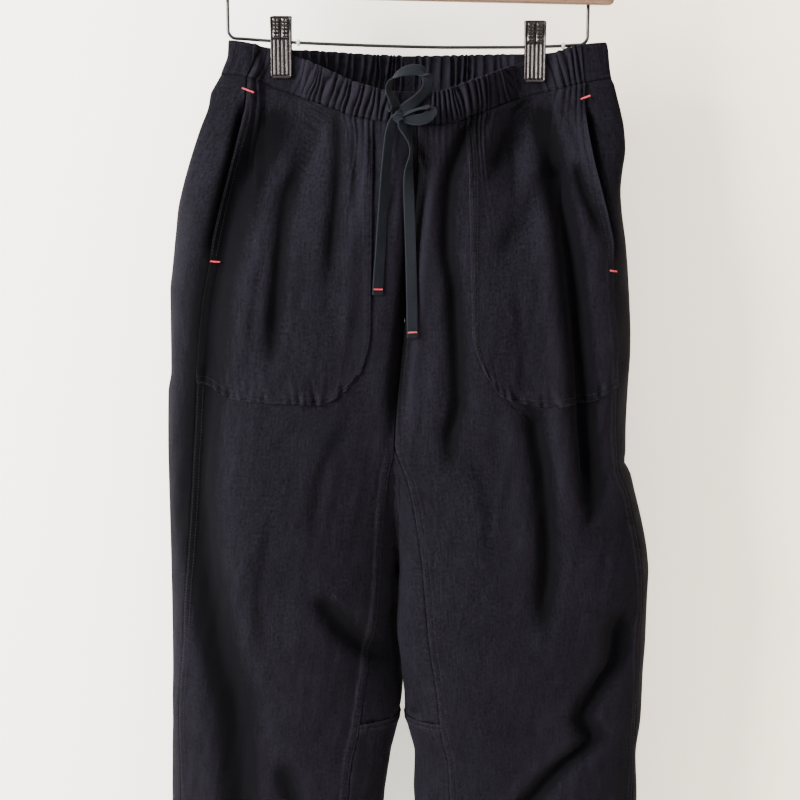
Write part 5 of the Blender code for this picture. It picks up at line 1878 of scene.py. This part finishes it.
        # Painted shade in the gather grooves and painted highlight on the lobes.
        fold = np.clip(-crest * 2.2, -0.3, 1)
        values = {"wear_and_highlight": np.clip(wear_and_highlight, 0, 1), "seam": seam, "fold": fold}
        obj = make.builder.loft(name, rings, uv, values)
        make.builder.place(obj, make.finishes.cloth, Slot.CLOTH, name)
        front[..., 2] += edge[:, None] * scallop
        at = [int(np.argmin(np.abs(share - row))) for row in self.ROWS]
        make.seams.rows(f"stitches_band_{face.value}", [(front[i], -way[i]) for i in at], 2.6)


@dataclass(frozen=True)
class Bend:
    """A place on the tape's way: its middle, and the direction of its width."""

    x: float
    y: float
    z: float
    wide: Triple


class Drawstring:
    """One woven tape in a bow: a large loop, a small loop and two free ends."""

    WIDE = 10.0
    THICK = 1.3
    LEFT = [
        Bend(-14.5, -37.2, -192.5, (1, 0.2, 0)), Bend(-12.5, -39.4, -196.5, (1, 0.3, 0.1)),
        Bend(-11.4, -41.2, -193.5, (0.9, 0.7, 0.1)), Bend(-14.0, -42.0, -187.5, (0.75, 1, 0.1)),
        Bend(-17.2, -42.8, -179.5, (0.7, 1, 0.1)), Bend(-15.2, -43.4, -170.5, (0.7, 1, 0.6)),
        Bend(-7, -44.2, -164.2, (0.35, 1, 1.2)), Bend(3, -45, -161.4, (-0.1, 0.35, 1)),
        Bend(12.5, -44.4, -162.8, (-0.5, 0.1, 1)), Bend(17.2, -41.5, -169.5, (-1, -0.3, 0.5)),
        Bend(15.4, -39.6, -178.5, (-1, -0.5, 0.2)), Bend(7, -39.4, -187.5, (-0.5, -0.4, 0.9)),
        Bend(-3.5, -40.6, -195, (-0.1, 0.3, 1)), Bend(-10.5, -41.6, -201.5, (0.8, 0.7, 0.2)),
        Bend(-14.0, -40.6, -209, (1, 0.45, 0)), Bend(-16.8, -40.4, -220, (1, 0.6, 0)),
        Bend(-20, -41.6, -248, (1, 0.7, 0)), Bend(-22.6, -44.6, -284, (1, 0.6, 0)),
        Bend(-24.8, -48.2, -319, (1, 0.5, 0)), Bend(-26.6, -50.6, -344, (1, 0.35, 0)),
        Bend(-27.4, -51.6, -359, (1, 0.3, 0)),
    ]
    RIGHT = [
        Bend(-4, -37.0, -193.5, (1, 0.2, 0)), Bend(-6.5, -39.6, -197.5, (1, 0.2, 0.1)),
        Bend(-4.2, -41.2, -198.0, (0.4, 0.8, 0.9)), Bend(3, -42.6, -196.6, (0.1, 1, 0.35)),
        Bend(11, -43.4, -194.6, (0, 1, 0.2)), Bend(18.5, -44.4, -193.6, (-0.6, 1, 0.4)),
        Bend(21.0, -45.4, -197.5, (-1, 0.5, 0.6)), Bend(15.5, -46.4, -203.0, (-0.5, 0.2, 1)),
        Bend(6, -45.4, -204.6, (0.1, 0.2, 1)), Bend(-3.6, -43.0, -202.6, (0.5, 0.4, 0.8)),
        Bend(-4.6, -41.8, -209.5, (1, 0.5, 0.3)), Bend(-0.6, -40.6, -217, (0.8, 0.8, 0)),
        Bend(2.2, -40.4, -226, (0.35, 1, 0)), Bend(2.4, -41.0, -236, (0.3, 1, 0)),
        Bend(0.4, -42.2, -252, (0.9, 0.6, 0)), Bend(0.8, -43.8, -275, (1, 0.1, 0)),
        Bend(2.0, -46.8, -310, (1, -0.1, 0)), Bend(3.2, -50.0, -353, (1, 0, 0)),
        Bend(4.0, -51.8, -398, (1, 0.1, 0)),
    ]

    def __init__(self, make: Maker) -> None:
        self.make = make

    @staticmethod
    def through(bends: Sequence[Bend], step: float = 1.0) -> tuple[Array, Array]:
        """A smooth way through the bends.

        Args:
            bends: The places.
            step: The distance between points.

        Returns:
            The points and the width's direction at each.
        """
        keys = np.array([[b.x, b.y, b.z, *b.wide] for b in bends], float)
        keys[:, 3:] /= np.linalg.norm(keys[:, 3:], axis=1, keepdims=True)
        pad = np.concatenate([[2 * keys[0] - keys[1]], keys, [2 * keys[-1] - keys[-2]]])
        out = []
        for i in range(1, len(pad) - 2):
            a, b, c, d = pad[i - 1: i + 3]
            long = np.linalg.norm(c[:3] - b[:3])
            for t in np.arange(0, 1, 1 / max(2, round(long / step))):
                out.append(0.5 * (2 * b + (c - a) * t + (2 * a - 5 * b + 4 * c - d) * t * t
                                  + (3 * b - 3 * c + d - a) * t**3))
        out.append(keys[-1])
        found = np.array(out)
        return found[:, :3], found[:, 3:]

    def clear(self, points: Array) -> Array:
        """Move a way forward so that it lies on the cloth and never in it."""
        moved = points.copy()
        for point in moved:
            if point[2] > -212:
                continue
            here = min(
                float(self.make.hung.front_place(point[0] + dx, point[2])[0][1])
                for dx in (-4.5, 0.0, 4.5)
            )
            point[1] = min(point[1], here - 2.6)
        for _ in range(12):
            moved[1:-1, 1] = (moved[:-2, 1] + 2 * moved[1:-1, 1] + moved[2:, 1]) / 4
        return moved

    def tape(self, name: str, points: Array, wide: Array, width: float) -> bpy.types.Object:
        """A flat woven tape along a way."""
        way = unit(np.gradient(points, axis=0))
        across = unit(wide - way * (wide * way).sum(1, keepdims=True))
        thin = np.cross(way, across)
        angle = np.linspace(0, 2 * math.pi, 20, endpoint=False)
        u = squarer(np.cos(angle), 0.45) * width / 2
        w = squarer(np.sin(angle), 0.8) * self.THICK / 2
        w = w * (1 + 0.28 * bump(np.abs(u), width / 2 - 0.7, 0.6))
        rings = points[:, None] + across[:, None] * u[:, None] + thin[:, None] * w[:, None]
        far = run_along(points)
        uv = np.stack(np.broadcast_arrays(u[None], -far[:, None]), -1) * MM
        # Painted highlight along both edges, carried in the wear value.
        edge = ease(width / 2 - 1.2, width / 2 - 0.1, np.abs(u))
        wear_and_highlight = np.broadcast_to(edge[None], rings.shape[:2])
        return self.make.builder.loft(name, rings, uv, {"wear_and_highlight": wear_and_highlight})

    def build(self) -> None:
        """Make both ends with their loops, and the knot that holds them."""
        make = self.make
        knot = self.knot()
        for name, bends, nodes in (
            ("drawstring_left", self.LEFT, ("bow_loop", "tape_left")),
            ("drawstring_right", self.RIGHT, ("bow_small", "tape_right")),
        ):
            points, wide = self.through(bends)
            points = self.clear(points)
            tape = self.tape(name, points, wide, self.WIDE)
            make.builder.place(tape, make.finishes.tape, Slot.TAPE, *nodes)
            end, before = points[-1], points[-6]
            down = unit(end - before)
            across = unit(wide[-1] - down * float(wide[-1] @ down))
            out = np.cross(across, down)
            out = out if out[1] < 0 else -out
            middle = end - down * 5.0 + out * (self.THICK / 2 + 0.05)
            bar = np.array([middle - across * 4.2, middle + across * 4.2])
            tack = make.seams.tack(f"tack_{name}", bar, out, 1.5)
            with_it = [tack] + ([knot] if name.endswith("left") else [])

    def knot(self) -> bpy.types.Object:
        """The tape's turn round the crossing."""
        middle = np.array([-8.4, -40.6, -201.2])
        lean = math.radians(-38)
        side = np.array([math.cos(lean), 0, math.sin(lean)])
        up = np.array([-math.sin(lean), 0.12, math.cos(lean)])
        front = np.array([0.0, -1.0, 0.0])
        points, wide = [], []
        for angle in np.radians(np.linspace(-155, 155, 44)):
            reach = front * math.cos(angle) * 4.4 + up * math.sin(angle) * 5.2
            points.append(middle + reach + side * angle * 0.7)
            wide.append(side)
        knot = self.tape("knot", np.array(points), np.array(wide), 8.0)
        return self.make.builder.place(knot, self.make.finishes.tape, Slot.TAPE, "knot")


class Hanger:
    """The wooden bar, the bent wire below it, the hook and the stop rings."""

    WOOD = (186.0, -84.0, 14.0, 6.5)
    TILT = 1.25
    WIRE_X, WIRE_R = 163.0, 1.5
    WIRE_LEFT, WIRE_RIGHT = -131.0, -136.6
    WIRE_LINE = [
        (-155.5, -131.0), (-150, -131.3), (-132, -132.6), (-115, -133.8), (-98, -134.8),
        (-52, -136.6), (-7, -138), (38, -138.8), (101, -138.7), (115, -138.4), (146, -137.2),
        (155.5, -136.6),
    ]
    HOOK_R, HOOK_WIRE = 20.0, 1.75

    def __init__(self, make: Maker) -> None:
        self.make = make

    @classmethod
    def wire_height(cls, x: float) -> float:
        """The middle of the bent wire at one place."""
        return float(smooth(cls.WIRE_LINE, x))

    def tube(
        self, name: str, path: Array, radius: Array | float, sides: int = 16
    ) -> bpy.types.Object:
        """A round rod along a path, mitred at its bends.

        Args:
            name: The piece's name.
            path: Points down its middle.
            radius: Its radius, one number or one at each point.
            sides: Points round it.

        Returns:
            The object.
        """
        path = np.asarray(path, float)
        radius = np.broadcast_to(np.asarray(radius, float), len(path))
        way = unit(np.gradient(path, axis=0))
        up = np.tile([0.0, 1.0, 0.0], (len(path), 1))
        up[np.abs(way[:, 1]) > 0.8] = (0.0, 0.0, 1.0)
        across = unit(np.cross(way, up))
        over = np.cross(across, way)
        angle = np.linspace(0, 2 * math.pi, sides, endpoint=False)[None, :, None]
        ring = across[:, None] * np.cos(angle) + over[:, None] * np.sin(angle)
        return self.make.builder.loft(name, path[:, None] + ring * radius[:, None, None])

    @staticmethod
    def arc(cx: float, cz: float, radius: float, start: float, end: float, count: int) -> list:
        """Points round part of a circle in the hanger's plane."""
        angles = np.radians(np.linspace(start, end, count))
        return [(cx + radius * math.cos(a), 0.0, cz + radius * math.sin(a)) for a in angles]

    def build(self) -> None:
        """Make the bar, wire, hook and rings."""
        make, finishes = self.make, self.make.finishes
        half, middle, tall, deep = self.WOOD
        tilt = math.radians(self.TILT)
        near_end = half - np.array([0, 0.4, 1.4, 3])
        xs = np.concatenate([-near_end, np.linspace(-half + 6, half - 6, 60), near_end[::-1]])
        angle = np.linspace(0, 2 * math.pi, 40, endpoint=False)
        rings = []
        for x in xs:
            end = min(half - abs(x), 5.0) / 5.0
            size = 1 - 0.22 * (1 - math.sqrt(max(0.0, 1 - (1 - end) ** 2)))
            z = squarer(np.cos(angle), 0.42) * tall * size
            y = squarer(np.sin(angle), 0.42) * deep * size
            rings.append(np.stack([x * math.cos(tilt) + z * math.sin(tilt), y,
                                   middle - x * math.sin(tilt) + z * math.cos(tilt)], -1))
        bar = make.builder.loft("hanger_bar", np.array(rings))
        make.builder.place(bar, finishes.wood, Slot.WOOD, "hanger_bar")
        drop = self.WIRE_X * math.tan(tilt)
        foot, corner = -98.2, 7.5
        falls = np.linspace(foot + drop - 6, self.WIRE_LEFT + corner + 1, 6)
        climbs = np.linspace(self.WIRE_RIGHT + corner + 1, foot - drop - 6, 6)
        path = [(-self.WIRE_X, 0, z) for z in (foot + drop, *falls)]
        path += self.arc(-self.WIRE_X + corner, self.WIRE_LEFT + corner, corner, 180, 268, 14)
        for x in np.linspace(-self.WIRE_X + corner + 4, self.WIRE_X - corner - 4, 60):
            path.append((x, 0, self.wire_height(x)))
        path += self.arc(self.WIRE_X - corner, self.WIRE_RIGHT + corner, corner, 272, 360, 14)
        path += [(self.WIRE_X, 0, z) for z in (*climbs, foot - drop)]
        wire = self.tube("hanger_wire", np.array(path), self.WIRE_R)
        make.builder.place(wire, finishes.wire, Slot.METAL, "hanger_wire")
        neck = [(0, 0, z) for z in np.linspace(-70.2, -62, 9)]
        bend = [(0.3, 0, -58.5), (1.2, 0, -55), (2.8, 0, -51.6), (5, 0, -48.5), (7.6, 0, -45.4),
                (10.5, 0, -42.5)]
        reach = self.HOOK_R + self.HOOK_WIRE
        arc = self.arc(0, -self.HOOK_R, reach, -42, 190, 60)
        path = np.array(neck + bend + arc)
        radius = np.full(len(path), self.HOOK_WIRE)
        radius[:5] = 2.6
        radius[5] = 2.1
        radius[-3:] = self.HOOK_WIRE + np.array([0.1, 0.45, 0.2])
        hook = self.tube("hanger_hook", path, radius)
        make.builder.place(hook, finishes.wire, Slot.METAL, "hanger_hook")
        for side, x in ((Side.LEFT, -99.5), (Side.RIGHT, 141.0)):
            self.ring(side, x)

    def ring(self, side: Side, x: float) -> None:
        """Make a split stop ring on the wire.

        Args:
            side: The viewer's side, for its name.
            x: Where it sits.
        """
        z = self.wire_height(x)
        rings = []
        for a in np.radians(np.linspace(25, 335, 40)):
            spoke = np.array([0, math.cos(a), math.sin(a)])
            loop = []
            for b in np.radians(np.arange(0, 360, 30)):
                thick = spoke * math.cos(b) * 0.8 + np.array([1.0, 0, 0]) * math.sin(b) * 1.5
                loop.append(np.array([x, 0, z]) + spoke * (self.WIRE_R + 0.85) + thick)
            rings.append(loop)
        name = f"stop_{side.value}"
        obj = self.make.builder.loft(name, np.array(rings))
        self.make.builder.place(obj, self.make.finishes.ring, Slot.PLASTIC, name)


@dataclass
class Clip:
    """One spring clip: two pressed jaws with ribs and studs, and a coil between them."""

    make: Maker
    side: Side
    HALF = 9.5
    NEAR = 2.6

    @property
    def place(self) -> Triple:
        """Its middle across, its top and its foot."""
        return (-115.0, -112.0, -166.5) if self.side is Side.LEFT else (115.4, -116.0, -170.0)

    def jaw(self, name: str, front: bool) -> Sheet:
        """The pressed face of a jaw.

        Args:
            name: The piece's name.
            front: Whether it is the front one.

        Returns:
            Its outside.
        """
        cx, top, foot = self.place
        if not front:
            top += 1.6
        u = np.linspace(-1, 1, 51)[None]
        h = np.linspace(0, 1, 98)[:, None]
        tall = top - foot
        z = foot + h * tall
        corner = np.clip(1 - (z - foot) / 3.2, 0, 1)
        upper = np.clip(1 - (top - z) / 1.2, 0, 1)
        half = self.HALF - 2.6 * (1 - np.sqrt(1 - corner**2)) - 1.0 * (1 - np.sqrt(1 - upper**2))
        x = cx + u * half
        a = u * self.HALF
        flare = 2.4 * ease(foot + 0.66 * tall, top, z) ** 1.5
        rim = 1 - ease(0.9, 1.7, self.HALF - np.abs(a))
        rim = np.maximum(rim, 1 - ease(0.9, 1.8, z - foot))
        ribs = sum(bump(a, c, 0.85) for c in (-5.55, -1.85, 1.85, 5.55))
        in_ribs = ease(foot + 2.4, foot + 3.6, z)
        in_ribs = in_ribs * ease(foot + 0.635 * tall, foot + 0.615 * tall, z)
        pads = sum(1 - ease(2.6, 3.3, np.abs(a - c)) for c in (-4.0, 4.0))
        in_pads = ease(foot + 0.65 * tall, foot + 0.67 * tall, z) * ease(top - 1.3, top - 2.1, z)
        studs = np.zeros(np.broadcast(a, z).shape)
        rows = np.linspace(foot + 0.70 * tall, top - 3.6, 5)
        for level in rows:
            for c in (-5.3, -2.7, 2.7, 5.3):
                studs += np.exp(-(((a - c) / 0.75) ** 2) - (((z - level) / 0.85) ** 2))
        rise = 0.95 * rim + 1.15 * ribs * in_ribs + in_pads * (0.55 * pads + 0.75 * studs)
        depth = self.NEAR + 1.3 + flare * (1.0 if front else 1.5) + rise
        y = -depth if front else depth
        points = np.stack(np.broadcast_arrays(x, y, z), -1)
        inward = np.zeros_like(points)
        inward[..., 1] = 1.0 if front else -1.0
        return Sheet(name, points, inward)

    def build(self) -> None:
        """Make both jaws, their side walls and the coil."""
        make, finishes = self.make, self.make.finishes
        cx, top, foot = self.place
        for front in (True, False):
            name = f"clip_{self.side.value}_{'front' if front else 'back'}"
            sheet = self.jaw(name, front)
            plain = np.abs(sheet.points[..., 1]) - self.NEAR
            obj = make.builder.shell(sheet, np.clip(plain - 0.05, 0.9, 1.6), None, 0.2)
            make.builder.place(obj, finishes.clip, Slot.METAL, name)
            self.walls(name, front)
        wire = Hanger.wire_height(cx)
        turns = []
        for k in range(150):
            angle = k / 149 * 5.0 * 2 * math.pi
            reach = 2.9
            turns.append((cx - 5.8 + 11.6 * k / 149, reach * math.cos(angle) * 0.8,
                          wire + 5.4 + reach * math.sin(angle)))
        hanger = Hanger(make)
        coil = hanger.tube(f"clip_{self.side.value}_coil", np.array(turns), 0.62, 10)
        name = f"clip_{self.side.value}_spring"
        make.builder.place(coil, finishes.dark, Slot.METAL, name)

    def walls(self, name: str, front: bool) -> None:
        """The jaw's side walls, folded back towards the cloth.

        Args:
            name: The jaw's name.
            front: Whether it is the front one.
        """
        cx, top, foot = self.place
        sign = -1.0 if front else 1.0
        for number, way in enumerate((-1.0, 1.0)):
            z = np.linspace(foot + 8, top - 1.5, 40)
            flare = 2.4 * ease(foot + 0.66 * (top - foot), top, z) ** 1.5 * (1.0 if front else 1.5)
            outer = self.NEAR + 1.6 + flare
            inner = np.maximum(self.NEAR + flare * 0.35 - 0.4 * ease(foot + 26, foot + 36, z), 0.35)
            rings = []
            for level, far, near in zip(z, outer, inner):
                x1, x2 = cx + way * (self.HALF - 0.75), cx + way * (self.HALF - 0.05)
                rings.append([(x1, sign * near, level), (x2, sign * near, level),
                              (x2, sign * far, level), (x1, sign * far, level)])
            wall = self.make.builder.loft(f"{name}_wall_{number + 1}", np.array(rings))
            self.make.builder.place(wall, self.make.finishes.clip, Slot.METAL)


class Tacks:
    """The coloured bar tacks at the pocket mouths."""

    BARS = [
        ("upper_right", (-150.2, -175.4), (-140.6, -179.4)),
        ("lower_right", (-180.8, -330.0), (-172.6, -330.8)),
        ("upper_left", (156.4, -185.4), (164.8, -182.2)),
        ("lower_left", (181.2, -338.0), (187.8, -339.2)),
    ]

    def __init__(self, make: Maker) -> None:
        self.make = make

    def build(self) -> None:
        """Sew the four tacks through the patch and the front."""
        for name, start, end in self.BARS:
            ends, ways = [], []
            for x, z in (start, end):
                point, inward = self.make.hung.front_place(x, z)
                ends.append(point - inward * (4.8 if name.startswith("upper") else 3.0))
                ways.append(-inward)
            self.make.seams.tack(f"tack_pocket_{name}", np.array(ends), ways[0] + ways[1])


class Stage:
    """The pale wall and floor, the soft lights and the camera."""

    TARGET = Vector((-0.007232, 0.0, -0.4642))
    FAR = 1.30
    RISE = math.radians(10.0)
    LENS = 61.578
    LAMPS = (
        ("window", (-1.9, -1.25, 0.25), -0.42, (0.8, 1.2), 260.0, (1.0, 0.985, 0.965)),
        ("room", (1.6, -1.8, 0.4), -0.5, (1.4, 1.4), 30.0, (1.0, 0.92, 0.83)),
        ("ceiling", (0.0, -0.9, 1.5), -0.4, (2.0, 1.4), 36.0, (1.0, 0.97, 0.94)),
        ("behind", (0.9, 2.0, 0.5), -0.45, (1.6, 1.6), 45.0, (1.0, 0.97, 0.94)),
    )

    def __init__(self, finishes: Finishes) -> None:
        self.finishes = finishes

    def plane(self, name: str, size: tuple[float, float], at: Triple,
              upright: bool, finish: bpy.types.Material) -> None:
        """A flat part of the stage.

        Args:
            name: Its name.
            size: Its width, and its height or depth.
            at: Its middle.
            upright: Whether it stands.
            finish: Its material.
        """
        w, h = size[0] / 2, size[1] / 2
        corners = [(-w, -h), (w, -h), (w, h), (-w, h)]
        points = [(x + at[0], at[1], z + at[2]) if upright else (x + at[0], z + at[1], at[2])
                  for x, z in corners]
        data = bpy.data.meshes.new(name)
        data.from_pydata(points, [], [(0, 1, 2, 3)])
        obj = bpy.data.objects.new(name, data)
        obj.data.materials.append(finish)
        bpy.context.scene.collection.objects.link(obj)

    @staticmethod
    def light(name: str, at: Triple, aim: float, size: tuple[float, float], power: float,
              colour: Triple) -> None:
        """A soft lamp.

        Args:
            name: Its name.
            at: Where it stands.
            aim: The height on the garment that it looks at.
            size: Its width and height.
            power: Its power in watts.
            colour: Its colour.
        """
        data = bpy.data.lights.new(name, "AREA")
        data.shape = "RECTANGLE"
        data.size, data.size_y = size
        data.energy = power
        data.color = colour
        obj = bpy.data.objects.new(name, data)
        obj.location = at
        to = Vector((0.0, 0.0, aim))
        obj.rotation_euler = (to - Vector(at)).to_track_quat("-Z", "Y").to_euler()
        bpy.context.scene.collection.objects.link(obj)

    def build(self) -> None:
        """Set the wall, floor, lamps and camera."""
        self.plane("wall", (7.0, 5.0), (0.0, 0.085, 0.6), True, self.finishes.wall)
        self.plane("floor", (7.0, 4.2), (0.0, -2.0, -1.30), False, self.finishes.floor)
        for lamp in self.LAMPS:
            self.light(*lamp)
        world = bpy.data.worlds.new("studio")
        world.use_nodes = True
        back = world.node_tree.nodes["Background"]
        back.inputs["Color"].default_value = (0.95, 0.96, 1.0, 1.0)
        back.inputs["Strength"].default_value = 0.3
        bpy.context.scene.world = world
        data = bpy.data.cameras.new("camera")
        data.sensor_width = 36.0
        data.lens = self.LENS
        data.dof.use_dof = False
        camera = bpy.data.objects.new("camera", data)
        reach = Vector((0.0, -self.FAR * math.cos(self.RISE), self.FAR * math.sin(self.RISE)))
        camera.location = self.TARGET + reach
        camera.rotation_euler = Euler((math.pi / 2 - self.RISE, 0.0, 0.0))
        bpy.context.scene.collection.objects.link(camera)
        bpy.context.scene.camera = camera


def main() -> None:
    """Build every piece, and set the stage."""
    logging.basicConfig(level=logging.INFO, format="%(name)s %(message)s")
    builder, finishes = Builder(), Finishes()
    make = Maker(Hung(), Gathers(), builder, finishes, Seams(builder, finishes))
    for side in Side:
        FrontPanel(make, side).build()
        BackPanel(make, side).build()
        InnerLeg(make, side).build()
    Gusset(make).build()
    for face in Face:
        Waistband(make, face).build()
    Drawstring(make).build()
    Tacks(make).build()
    Hanger(make).build()
    for side in Side:
        Clip(make, side).build()
    Stage(finishes).build()
    LOG.info("%d pieces", builder.count)


if __name__ == "__main__":
    main()
